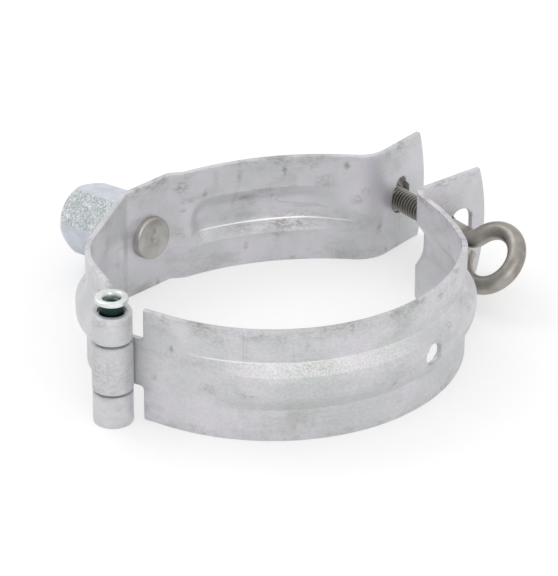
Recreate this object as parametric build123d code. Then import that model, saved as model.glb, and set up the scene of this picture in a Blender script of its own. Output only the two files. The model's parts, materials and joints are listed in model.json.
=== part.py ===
"""Hinged pipe clamp: two pressed sheet halves on a pin, a threaded hex boss and an eye bolt.

Frame: millimetres, +Z up along the pipe, origin on the axis of the front half's curve at the
height of the lower strap edges. +X points to the side of the ears, +Y to the half with the boss.
"""

from build123d import *
import os
from math import acos, asin, atan2, cos, degrees, radians, sin, sqrt, tan

# Sheet and strap
strap_width = 30.0
sheet = 1.5
ring_inner_radius = 47.2

# Hinge: knuckles rolled out of the strap ends round one pin
hinge_stand_out = 1.65
hinge_angle = -134.3
pin_radius = 3.45
pin_clearance = 0.1
pin_head_height = 3.8
pin_neck_radius = 3.0
pin_neck_drop = 0.6
pin_lip_radius = 4.1
pin_lip_height = 1.8
pin_lip_slope = 0.5
pin_recess_radius = 2.2
pin_lip_chamfer = 0.6
pin_recess_depth = 1.8
pin_lower_gap = 0.4
upper_knuckle_height = 7.5
lower_knuckle_height = 8.5
knuckle_gap = 0.6
knuckle_wrap = 309.0
tongue_length = 6.4
notch_corner_radius = 1.0

# Front half, from the hinge to the ear
front_round_end = -6.4
front_tight_radius = 16.0
front_tight_turn = 18.0
front_ease_radius = 65.0
front_ease_turn = 18.0
front_run_to_ear = 4.4
front_ear_heading = 38.3
front_ear_length = 19.9
front_slot_inset = 8.1

# Rear half, from the hinge to the ear
rear_hinge_heading = 113.9
rear_hinge_run = 16.3
rear_left_radius = 22.7
rear_wall_heading = 73.6
rear_wall_run = 23.2
seat_heading = 45.6
seat_length = 14.3
jog_heading = 9.0
jog_length = 2.8
rear_arc_heading = 32.9
rear_arc_radius = 66.6
rear_run_heading = -6.2
rear_run_to_ear = 3.0
rear_ear_heading = 51.0
rear_ear_length = 19.0
rear_slot_inset = 10.0

# Folds and ears
fold_radius = 2.2
ear_bend_radius = 3.6
ear_end_bulge = 2.2
slot_width = 7.4
slot_height = 10.2

# Beads pressed outwards along the straps
bead_width = 13.0
bead_crest_width = 7.0
bead_flat_width = 3.2
bead_height = 2.6
bead_shoulder_height = 1.9
bead_foot_overlap = 0.6
front_bead_margin = 13.5
wall_bead_margin = 3.0
ear_bead_margin = 0.5
relief_hole_radius = 2.7
relief_hole_angle = -39.3

# Boss and its rivet
boss_across_flats = 17.0
boss_length = 23.0
boss_turn = 10.0
boss_droop = 7.0
boss_chamfer = 1.2
boss_thread_radius = 4.25
boss_thread_depth = 15.0
rivet_head_radius = 5.6
rivet_head_height = 2.3
rivet_edge_chamfer = 0.7
rivet_dimple_radius = 1.1
rivet_dimple_depth = 0.4
rivet_shank_radius = 3.5
rivet_shank_depth = 4.0

# Eye bolt and nut
thread_radius = 3.0
wire_radius = 2.4
eye_radius = 7.75
eye_offset = 2.0
eye_bend_radius = 3.0
eye_turn = 46.0
eye_distance = 14.4
eye_end_gap = 0.5
neck_length = 8.0
bolt_seat_gap = 0.9
bolt_front_shift = -0.6
bolt_rear_shift = -0.2
bolt_tail = 1.5
nut_across_flats = 10.0
nut_height = 5.0
nut_gap = 1.2
nut_chamfer = 0.5
nut_clearance = 0.1

# Derived sizes
middle_radius = ring_inner_radius + sheet / 2
front_roll_radius = pin_radius + pin_clearance + sheet / 2
rear_roll_radius = pin_radius + sheet / 2
mid_height = strap_width / 2
hinge_distance = middle_radius + front_roll_radius + hinge_stand_out
hinge_x = hinge_distance * cos(radians(hinge_angle))
hinge_y = hinge_distance * sin(radians(hinge_angle))
tangent_turn = degrees(acos((middle_radius + front_roll_radius) / hinge_distance))
tangent_run = sqrt(hinge_distance**2 - (middle_radius + front_roll_radius) ** 2)
upper_split = strap_width - upper_knuckle_height
lower_split = lower_knuckle_height
bolt_height = mid_height - slot_height / 2 + thread_radius + bolt_seat_gap

ON_BASE = (Align.CENTER, Align.CENTER, Align.MIN)


class Track:
    """Middle line of a bent strip: straight runs and bends, each tangent to the one before."""

    def __init__(self, x, y, heading):
        self.x, self.y, self.heading = x, y, heading
        self.pieces = []
        self.marks = {}

    def beside(self, offset):
        """Point offset to the left of this place."""
        across = radians(self.heading + 90)
        return (self.x + offset * cos(across), self.y + offset * sin(across))

    def run(self, length):
        """Go straight on."""
        self.pieces.append(("run", self.x, self.y, self.heading, length, 0.0))
        self.x += length * cos(radians(self.heading))
        self.y += length * sin(radians(self.heading))
        return self

    def bend(self, radius, turn):
        """Turn at this radius of the middle line, to the left where turn is positive."""
        self.pieces.append(("bend", self.x, self.y, self.heading, radius, turn))
        way = 1 if turn > 0 else -1
        cx, cy = self.beside(way * radius)
        self.heading += turn
        self.x = cx + way * radius * sin(radians(self.heading))
        self.y = cy - way * radius * cos(radians(self.heading))
        return self

    def bend_to(self, radius, heading):
        """Turn at this radius until the line points along heading."""
        return self.bend(radius, heading - self.heading)

    def mark(self, name):
        """Remember how far along the line this place is."""
        self.marks[name] = sum(piece_length(piece) for piece in self.pieces)
        return self

    def turned_back(self):
        """Place at the line's beginning, looking away from the line."""
        _, x, y, heading, _, _ = self.pieces[0]
        return Track(x, y, heading + 180)

    def between(self, start, end):
        """The part of the line between two distances from its beginning."""
        part, passed = None, 0.0
        for kind, x, y, heading, size, turn in self.pieces:
            whole = piece_length((kind, x, y, heading, size, turn))
            low, high = max(start - passed, 0.0), min(end - passed, whole)
            passed += whole
            if high - low < 1e-6:
                continue
            place = Track(x, y, heading)
            if low > 0 and kind == "run":
                place.run(low)
            elif low > 0:
                place.bend(size, turn * low / whole)
            part = part or Track(place.x, place.y, place.heading)
            if kind == "run":
                part.run(high - low)
            else:
                part.bend(size, turn * (high - low) / whole)
        return part

    def at(self, distance):
        """Place at a distance from the line's beginning."""
        part = self.between(0.0, distance)
        return Track(part.x, part.y, part.heading)


def piece_length(piece):
    """Length of one run or bend."""
    kind, _, _, _, size, turn = piece
    return size if kind == "run" else size * radians(abs(turn))


def front_track():
    """Middle line of the front half, from its notched end by the hinge to the ear's end."""
    angle = hinge_angle + tangent_turn
    x = middle_radius * cos(radians(angle))
    y = middle_radius * sin(radians(angle))
    root = Track(x, y, angle - 90).run(tangent_run - tongue_length)
    track = Track(root.x, root.y, angle + 90)
    track.run(tangent_run - tongue_length)
    track.bend_to(middle_radius, front_round_end + 90)
    track.bend(front_tight_radius, front_tight_turn)
    track.bend(front_ease_radius, front_ease_turn)
    track.run(front_run_to_ear).mark("ear")
    track.bend_to(ear_bend_radius, front_ear_heading)
    return track.run(front_ear_length).mark("end")


def rear_track():
    """Middle line of the rear half, from its notched end by the hinge to the ear's end."""
    tangent = Track(hinge_x, hinge_y, rear_hinge_heading)
    x, y = tangent.beside(-rear_roll_radius)
    root = Track(x, y, rear_hinge_heading).run(tongue_length)
    track = Track(root.x, root.y, rear_hinge_heading)
    track.run(rear_hinge_run)
    track.bend_to(rear_left_radius, rear_wall_heading)
    track.run(rear_wall_run).mark("wall end")
    track.bend_to(fold_radius, seat_heading).mark("seat")
    track.run(seat_length).mark("seat end")
    track.bend_to(fold_radius, jog_heading)
    track.run(jog_length)
    track.bend_to(fold_radius, rear_arc_heading).mark("back")
    track.bend_to(rear_arc_radius, rear_run_heading)
    track.run(rear_run_to_ear).mark("ear")
    track.bend_to(ear_bend_radius, rear_ear_heading)
    return track.run(rear_ear_length).mark("end")


# Pieces
def line_beside(track, offset):
    """Edges of the line that follows a track at an offset to its left."""
    edges = []
    for kind, x, y, heading, size, turn in track.pieces:
        place = Track(x, y, heading)
        start = place.beside(offset)
        if kind == "run":
            edges.append(Line(start, place.run(size).beside(offset)))
        else:
            middle = place.bend(size, turn / 2).beside(offset)
            edges.append(ThreePointArc(start, middle, place.bend(size, turn / 2).beside(offset)))
    return edges


def bent_strip(track, low, high):
    """Sheet that follows a track between two heights."""
    left, right = line_beside(track, sheet / 2), line_beside(track, -sheet / 2)
    caps = [Line(left[0] @ 0, right[0] @ 0), Line(left[-1] @ 1, right[-1] @ 1)]
    return Pos(0, 0, low) * extrude(make_face([*left, *right, *caps]), high - low, dir=(0, 0, 1))


def across_strip(place, side):
    """Plane across a strip at mid height: x out of its side (1 left, -1 right), y up."""
    out = radians(place.heading + side * 90)
    along = radians(place.heading)
    return Plane(
        origin=(place.x, place.y, mid_height),
        x_dir=(cos(out), sin(out), 0),
        z_dir=(side * cos(along), side * sin(along), 0),
    )


def along_strip(place):
    """Plane of a strip's face at mid height: x along the strip, y up, z to its right."""
    along = radians(place.heading)
    return Plane(
        origin=(place.x, place.y, mid_height),
        x_dir=(cos(along), sin(along), 0),
        z_dir=(sin(along), -cos(along), 0),
    )


def bead_outline(base, inset):
    """Upper half of a bead's section: two sloping facets and a flat crest, set in by the sheet."""
    slope = (bead_width - bead_crest_width) / 2 / bead_shoulder_height
    foot = (base - bead_foot_overlap, bead_width / 2 - inset + bead_foot_overlap * slope)
    shoulder = (base + bead_shoulder_height, bead_crest_width / 2 - inset)
    crest = (base + bead_height, bead_flat_width / 2)
    corners = [(foot[0], 0), foot, shoulder, crest, (crest[0], 0)]
    return [Line(start, end) for start, end in zip(corners, corners[1:] + corners[:1])]


def bead_solids(track, side, base, inset):
    """Solids that make up a bead along a track, with a round dome at each end."""
    half = make_face(bead_outline(base, inset))
    section = half + mirror(half, Plane.XZ)
    solids = []
    for kind, x, y, heading, size, turn in track.pieces:
        place = Track(x, y, heading)
        face = across_strip(place, side) * section
        if kind == "run":
            ahead = (cos(radians(heading)), sin(radians(heading)), 0)
            solids.append(extrude(face, size, dir=ahead))
        else:
            way = 1 if turn > 0 else -1
            cx, cy = place.beside(way * size)
            solids.append(revolve(face, Axis((cx, cy, 0), (0, 0, way)), abs(turn)))
    dome = revolve(half, Axis.X)
    ends = [across_strip(track.turned_back(), -side), across_strip(track, side)]
    return solids + [end * dome for end in ends]


def press_bead(strap, track, side):
    """Strap with a bead pushed out of one side of it, hollow behind."""
    lean = atan2(bead_shoulder_height, (bead_width - bead_crest_width) / 2)
    strap += bead_solids(track, side, sheet / 2, 0.0)
    return strap - bead_solids(track, side, -sheet / 2, sheet * tan(lean / 2))


def bead_track(track, start, end):
    """Line of a bead's middle between two distances along a strip, its domes inside them."""
    return track.between(start + bead_width / 2, end - bead_width / 2)


def knuckle(strap_line, roll_radius, way, low, high):
    """Tongue and knuckle that leave a strap's notched end and curl round the pin."""
    curl = strap_line.turned_back()
    curl.run(tongue_length)
    curl.bend(roll_radius, way * knuckle_wrap)
    return bent_strip(curl, low, high)


def soften_notch(strap, line, heights):
    """Strap with the inner corners between its notched end and its tongues rounded."""
    _, x, y, _, _, _ = line.pieces[0]
    corners = [Vector(x, y, height) for height in heights]
    edges = [
        edge
        for edge in strap.edges()
        if any((edge.center() - corner).length < sheet / 4 for corner in corners)
    ]
    return fillet(edges, notch_corner_radius)


def past_ear(place):
    """Tool that rounds an ear's end: all that lies past a shallow arc across the strap."""
    half, beyond = mid_height + 1, 1.0
    bulge_radius = (mid_height**2 + ear_end_bulge**2) / (2 * ear_end_bulge)
    corner = bulge_radius - sqrt(bulge_radius**2 - half**2)
    outline = [
        ThreePointArc((-corner, -half), (0, 0), (-corner, half)),
        Line((-corner, half), (beyond, half)),
        Line((beyond, half), (beyond, -half)),
        Line((beyond, -half), (-corner, -half)),
    ]
    return along_strip(place) * extrude(make_face(outline), sheet, both=True)


def slot_tool(place):
    """Tool for the upright slot through an ear."""
    slot = SlotOverall(slot_height, slot_width, rotation=90)
    return along_strip(place) * extrude(slot, sheet, both=True)


def front_band():
    """Front half: one knuckle, one long bead with a relief hole, and the ear the eye bears on."""
    line = front_track()
    strap = bent_strip(line, 0, strap_width)
    low, high = lower_split + knuckle_gap, upper_split - knuckle_gap
    strap += knuckle(line, front_roll_radius, 1, low, high)
    strap = soften_notch(strap, line, [low, high])
    bead = bead_track(line, front_bead_margin, line.marks["ear"] - ear_bead_margin)
    strap = press_bead(strap, bead, -1)
    strap -= past_ear(line)
    strap -= slot_tool(front_slot())
    reach = middle_radius + bead_height + sheet
    drill = Plane(
        origin=(0, 0, mid_height),
        z_dir=(cos(radians(relief_hole_angle)), sin(radians(relief_hole_angle)), 0),
    )
    hole = Pos(0, 0, middle_radius - 2 * sheet) * Cylinder(
        relief_hole_radius, reach - middle_radius + 2 * sheet, align=ON_BASE
    )
    return strap - drill * hole


def rear_band():
    """Rear half: two knuckles, beads on its wall and back, the boss's seat and the nut's ear."""
    line = rear_track()
    strap = bent_strip(line, 0, strap_width)
    strap += knuckle(line, rear_roll_radius, -1, 0, lower_split)
    strap += knuckle(line, rear_roll_radius, -1, upper_split, strap_width)
    strap = soften_notch(strap, line, [lower_split, upper_split])
    wall = bead_track(line, wall_bead_margin, line.marks["wall end"] - wall_bead_margin)
    strap = press_bead(strap, wall, 1)
    back = bead_track(line, line.marks["back"], line.marks["ear"] - ear_bead_margin)
    strap = press_bead(strap, back, 1)
    strap -= past_ear(line)
    strap -= slot_tool(rear_slot())
    return strap - seat_plane() * boss_lean() * Cylinder(rivet_shank_radius, 4 * sheet)


def seat_plane():
    """Plane of the seat's middle: x along the strap, z out of the clamp."""
    line = rear_track()
    place = line.at((line.marks["seat"] + line.marks["seat end"]) / 2)
    along, out = radians(place.heading), radians(place.heading + 90)
    return Plane(
        origin=(place.x, place.y, mid_height),
        x_dir=(cos(along), sin(along), 0),
        z_dir=(cos(out), sin(out), 0),
    )


def boss_lean():
    """Turn of the boss and its rivet from square to the seat: the boss's far end hangs lower."""
    return Rot(-boss_droop, 0, 0)


def hinge_pin():
    """Pin through the knuckles; above them a narrow neck and a flared, hollow lip."""
    top = strap_width + pin_head_height
    neck = strap_width - pin_neck_drop
    lip = top - pin_lip_height
    profile = Polyline(
        (0, pin_lower_gap),
        (pin_radius, pin_lower_gap),
        (pin_radius, neck),
        (pin_neck_radius, neck),
        (pin_neck_radius, lip),
        (pin_lip_radius, lip + pin_lip_slope),
        (pin_lip_radius, top - pin_lip_chamfer),
        (pin_lip_radius - pin_lip_chamfer, top),
        (pin_recess_radius, top),
        (pin_recess_radius, top - pin_recess_depth),
        (0, top - pin_recess_depth),
        close=True,
    )
    return Pos(hinge_x, hinge_y, 0) * revolve(Plane.XZ * make_face(profile), Axis.Z)


def hex_bar(across_flats, length, chamfer_size):
    """Hexagonal bar along z, both ends turned down to a cone."""
    bar = extrude(RegularPolygon(across_flats / 2, 6, major_radius=False), length)
    corner = across_flats / sqrt(3)
    inner = corner - chamfer_size
    rise = chamfer_size / sqrt(3)
    turned = make_face(
        Polyline(
            (0, 0),
            (inner, 0),
            (corner, rise),
            (corner, length - rise),
            (inner, length),
            (0, length),
            close=True,
        )
    )
    return bar & revolve(Plane.XZ * turned, Axis.Z)


def beyond_sheet(side):
    """Tool in the seat's plane for all that lies out of (1) or inside (-1) the sheet's faces."""
    size = 4 * boss_length
    block = Pos(0, 0, size / 2 + sheet / 2) * Box(size, size, size)
    return block if side > 0 else Rot(180, 0, 0) * block


def threaded_boss():
    """Hex boss on the seat's outside: threaded hole outwards, bore for the rivet's shank."""
    far_end = sheet / 2 + boss_length
    bar = Pos(0, 0, -sheet) * hex_bar(boss_across_flats, far_end + sheet, boss_chamfer)
    boss = Rot(0, 0, boss_turn) * bar
    boss -= Cylinder(rivet_shank_radius, 2 * (sheet / 2 + rivet_shank_depth))
    mouth = Pos(0, 0, far_end - boss_thread_depth)
    boss -= mouth * Cylinder(boss_thread_radius, boss_thread_depth, align=ON_BASE)
    return seat_plane() * (boss_lean() * boss & beyond_sheet(1))


def boss_rivet():
    """Rivet that holds the boss: round flat head inside the clamp, shank through the sheet."""
    face = -sheet / 2 - rivet_head_height
    head = Pos(0, 0, face) * Cylinder(rivet_head_radius, 2 * rivet_head_height, align=ON_BASE)
    head = chamfer(head.edges().group_by(Axis.Z)[0], rivet_edge_chamfer)
    head -= Pos(0, 0, face) * Cylinder(rivet_dimple_radius, 2 * rivet_dimple_depth)
    shank = Pos(0, 0, face + rivet_head_height / 2) * Cylinder(
        rivet_shank_radius, rivet_head_height / 2 + sheet + rivet_shank_depth, align=ON_BASE
    )
    lean = boss_lean()
    return seat_plane() * ((lean * head & beyond_sheet(-1)) + lean * shank)


def front_slot():
    """Place of the slot's middle in the front half's ear."""
    line = front_track()
    return line.at(line.marks["end"] - front_slot_inset)


def rear_slot():
    """Place of the slot's middle in the rear half's ear."""
    line = rear_track()
    return line.at(line.marks["end"] - rear_slot_inset)


def bolt_line():
    """Plan vector of the bolt's axis from the rear ear to the front ear, and its front end."""
    rear = rear_slot().run(bolt_rear_shift)
    front = front_slot().run(bolt_front_shift)
    return Vector(front.x - rear.x, front.y - rear.y), Vector(front.x, front.y)


def bolt_plane():
    """Plane of the eye: origin on the front ear, x along the bolt to the eye, y across it."""
    along, front = bolt_line()
    ahead = along.normalized()
    lean = radians(eye_turn)
    across = Vector(-ahead.Y * sin(lean), ahead.X * sin(lean), cos(lean))
    origin = (front.X, front.Y, bolt_height)
    return Plane(origin=origin, x_dir=ahead, z_dir=ahead.cross(across))


def nut_distance():
    """Distance from the front ear back to the nut's nearer face."""
    return bolt_line()[0].length + sheet / 2 + nut_gap


def rod_along_x(start, end, radius):
    """Round rod along x between two places."""
    return Pos(start, 0, 0) * Rot(0, 90, 0) * Cylinder(radius, end - start, align=ON_BASE)


def eye_bolt():
    """Bolt with its wire end bent round into an eye."""
    turn = acos((eye_bend_radius + eye_offset) / (eye_radius + eye_bend_radius))
    bend_start = eye_distance - (eye_radius + eye_bend_radius) * sin(turn)
    thread_end = bend_start - neck_length
    shank = rod_along_x(-nut_distance() - nut_height - bolt_tail, thread_end, thread_radius)
    neck = rod_along_x(thread_end, bend_start, wire_radius)
    wire = Plane.YZ * Pos(0, 0, bend_start) * Circle(wire_radius)
    bend = revolve(wire, Axis((bend_start, eye_bend_radius, 0), (0, 0, 1)), degrees(turn))
    stop = asin((wire_radius + eye_end_gap - eye_offset) / eye_radius)
    wrap = 270.0 + degrees(turn) - degrees(stop)
    joint = Plane(
        origin=(bend_start + eye_bend_radius * sin(turn), eye_bend_radius * (1 - cos(turn)), 0),
        x_dir=(0, 0, 1),
        z_dir=(cos(turn), sin(turn), 0),
    )
    eye = revolve(joint * Circle(wire_radius), Axis((eye_distance, -eye_offset, 0), (0, 0, -1)), wrap)
    return bolt_plane() * (shank + neck + bend + eye)


def clamp_nut():
    """Hex nut on the bolt's tail, behind the rear ear."""
    nut = hex_bar(nut_across_flats, nut_height, nut_chamfer)
    nut -= Cylinder(thread_radius + nut_clearance, nut_height, align=ON_BASE)
    return bolt_plane() * Pos(-nut_distance(), 0, 0) * Rot(0, -90, 0) * nut


PIECES = {
    "front_band": front_band,
    "rear_band": rear_band,
    "hinge_pin": hinge_pin,
    "threaded_boss": threaded_boss,
    "boss_rivet": boss_rivet,
    "eye_bolt": eye_bolt,
    "clamp_nut": clamp_nut,
}

os.makedirs("parts", exist_ok=True)
for name, piece in PIECES.items():
    export_step(piece(), f"parts/{name}.step")
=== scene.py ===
"""Visual model of a hinged pipe clamp, dressed over its frame of solids.

The clamp is two bent halves of galvanised sheet on a hinge pin, closed by an eye bolt and a nut,
with a hexagonal threaded boss riveted to the rear half.
"""

import json
import logging
import math
from collections.abc import Callable, Iterator
from contextlib import contextmanager
from dataclasses import dataclass, field
from enum import Enum

import bmesh
import bpy
from mathutils import Matrix, Vector, noise


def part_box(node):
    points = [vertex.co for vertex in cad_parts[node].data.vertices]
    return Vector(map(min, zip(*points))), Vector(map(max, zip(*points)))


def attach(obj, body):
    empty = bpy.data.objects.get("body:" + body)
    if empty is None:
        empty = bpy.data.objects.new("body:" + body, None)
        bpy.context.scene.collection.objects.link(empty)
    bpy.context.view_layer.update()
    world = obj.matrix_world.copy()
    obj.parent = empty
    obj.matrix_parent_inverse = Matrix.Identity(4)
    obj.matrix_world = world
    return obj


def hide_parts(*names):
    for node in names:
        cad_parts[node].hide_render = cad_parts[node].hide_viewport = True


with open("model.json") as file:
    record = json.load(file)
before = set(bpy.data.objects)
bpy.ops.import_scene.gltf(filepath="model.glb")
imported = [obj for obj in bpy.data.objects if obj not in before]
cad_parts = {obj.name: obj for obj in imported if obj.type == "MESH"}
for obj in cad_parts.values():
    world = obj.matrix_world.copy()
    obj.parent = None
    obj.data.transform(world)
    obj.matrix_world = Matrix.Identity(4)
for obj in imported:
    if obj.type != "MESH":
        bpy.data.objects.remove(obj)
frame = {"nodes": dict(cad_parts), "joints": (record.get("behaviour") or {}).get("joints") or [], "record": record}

MM = 0.001
LOG = logging.getLogger("clamp")


class Body(str, Enum):
    """Moving bodies of the clamp."""

    REAR_HALF = "rear_half"
    FRONT_HALF = "front_half"
    BOLT = "bolt"
    NUT = "nut"


class Slot(str, Enum):
    """Material slots of the record."""

    SHEET = "galvanised_sheet"
    PIN = "bright_zinc"
    PLATE = "zinc_plate"
    NICKEL = "nickel_plate"
    WIRE = "stainless_wire"


class Bench:
    """Operators on one piece at a time."""

    @staticmethod
    def clear() -> None:
        """Leave nothing selected."""
        bpy.ops.object.select_all(action="DESELECT")

    @staticmethod
    def pick(piece: bpy.types.Object) -> None:
        """Select one piece alone and make it active.

        Args:
            piece: Object to pick.
        """
        Bench.clear()
        piece.hide_set(False)
        piece.select_set(True)
        bpy.context.view_layer.objects.active = piece

    @staticmethod
    @contextmanager
    def editing(piece: bpy.types.Object) -> Iterator[None]:
        """Edit mode on one piece, with nothing of its mesh selected.

        Args:
            piece: Mesh object to edit.

        Yields:
            Nothing, with the piece in edit mode until the block ends.
        """
        Bench.pick(piece)
        bpy.ops.object.mode_set(mode="EDIT")
        bpy.ops.mesh.select_all(action="DESELECT")
        yield
        bpy.ops.object.mode_set(mode="OBJECT")

    @staticmethod
    def select_faces(piece: bpy.types.Object, test: Callable[[bmesh.types.BMFace], bool]) -> int:
        """Select the faces that pass a test, in edit mode.

        Args:
            piece: Mesh object in edit mode.
            test: Says whether a face is wanted.

        Returns:
            How many faces are selected.
        """
        mesh = bmesh.from_edit_mesh(piece.data)
        bpy.context.tool_settings.mesh_select_mode = (False, False, True)
        mesh.select_mode = {"FACE"}
        for face in mesh.faces:
            face.select_set(bool(test(face)))
        mesh.select_flush_mode()
        bmesh.update_edit_mesh(piece.data)
        return sum(face.select for face in mesh.faces)

    @staticmethod
    def select_edges(piece: bpy.types.Object, test: Callable[[bmesh.types.BMEdge], bool]) -> int:
        """Select the edges that pass a test, in edit mode.

        Args:
            piece: Mesh object in edit mode.
            test: Says whether an edge is wanted.

        Returns:
            How many edges are selected.
        """
        mesh = bmesh.from_edit_mesh(piece.data)
        bpy.context.tool_settings.mesh_select_mode = (False, True, False)
        mesh.select_mode = {"EDGE"}
        for part in (mesh.verts, mesh.edges, mesh.faces):
            for item in part:
                item.select_set(False)
        count = 0
        for edge in mesh.edges:
            if test(edge):
                edge.select_set(True)
                count += 1
        mesh.select_flush_mode()
        bmesh.update_edit_mesh(piece.data)
        return count

    @staticmethod
    def merged_copy(node: str, name: str) -> bpy.types.Object:
        """Copy of a node's mesh with its loose triangles joined up and flat areas made whole.

        Args:
            node: Name of the node.
            name: Name of the new piece.

        Returns:
            The new piece, not yet riding on a body.
        """
        source = frame["nodes"][node]
        piece = bpy.data.objects.new(name, source.data.copy())
        piece.data.name = name
        piece.data.materials.clear()
        bpy.context.scene.collection.objects.link(piece)
        with Bench.editing(piece):
            bpy.ops.mesh.select_all(action="SELECT")
            bpy.ops.mesh.remove_doubles(threshold=0.002 * MM)
            bpy.ops.mesh.customdata_custom_splitnormals_clear()
            bpy.ops.mesh.dissolve_limited(angle_limit=math.radians(0.6))
        return piece

    @staticmethod
    def soften(piece: bpy.types.Object, width: float, angle: float, segments: int) -> None:
        """Round the sharp edges of a piece.

        Args:
            piece: Mesh object.
            width: Width of the rounding, in metres.
            angle: Least angle of an edge that is rounded, in degrees.
            segments: Steps of the rounding.
        """
        bevel = piece.modifiers.new("edges", "BEVEL")
        bevel.width = width
        bevel.segments = segments
        bevel.limit_method = "ANGLE"
        bevel.angle_limit = math.radians(angle)
        bevel.use_clamp_overlap = True
        Bench.apply(piece, bevel)

    @staticmethod
    def apply(piece: bpy.types.Object, modifier: bpy.types.Modifier) -> None:
        """Make a modifier's result the piece's own mesh."""
        Bench.pick(piece)
        bpy.ops.object.modifier_apply(modifier=modifier.name)

    @staticmethod
    def smooth(piece: bpy.types.Object, angle: float) -> None:
        """Shade a piece smoothly, apart from edges sharper than an angle in degrees."""
        Bench.pick(piece)
        bpy.ops.object.shade_smooth_by_angle(angle=math.radians(angle))

    @staticmethod
    def mark(piece: bpy.types.Object, name: str, rule: Callable[[Vector], float]) -> None:
        """Give every vertex of a piece a number that its material reads.

        Args:
            piece: Mesh object.
            name: Name of the attribute.
            rule: Gives the number for a place.
        """
        layer = piece.data.attributes.new(name, "FLOAT", "POINT")
        for point, item in zip(piece.data.vertices, layer.data):
            item.value = rule(point.co)

    @staticmethod
    def hand_over(
        piece: bpy.types.Object, body: Body, slot: Slot, nodes: tuple[str, ...] = ()
    ) -> None:
        """Let a finished piece ride on its body and stand for its nodes.

        Args:
            piece: Finished mesh object.
            body: Body that carries it.
            slot: Material slot of the record; not used.
            nodes: Nodes that it replaces.
        """
        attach(piece, body.value)
        if nodes:
            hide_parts(*nodes)
        faces = sum(len(face.vertices) - 2 for face in piece.data.polygons)
        LOG.info("%s: %d triangles on %s", piece.name, faces, body.value)


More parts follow.
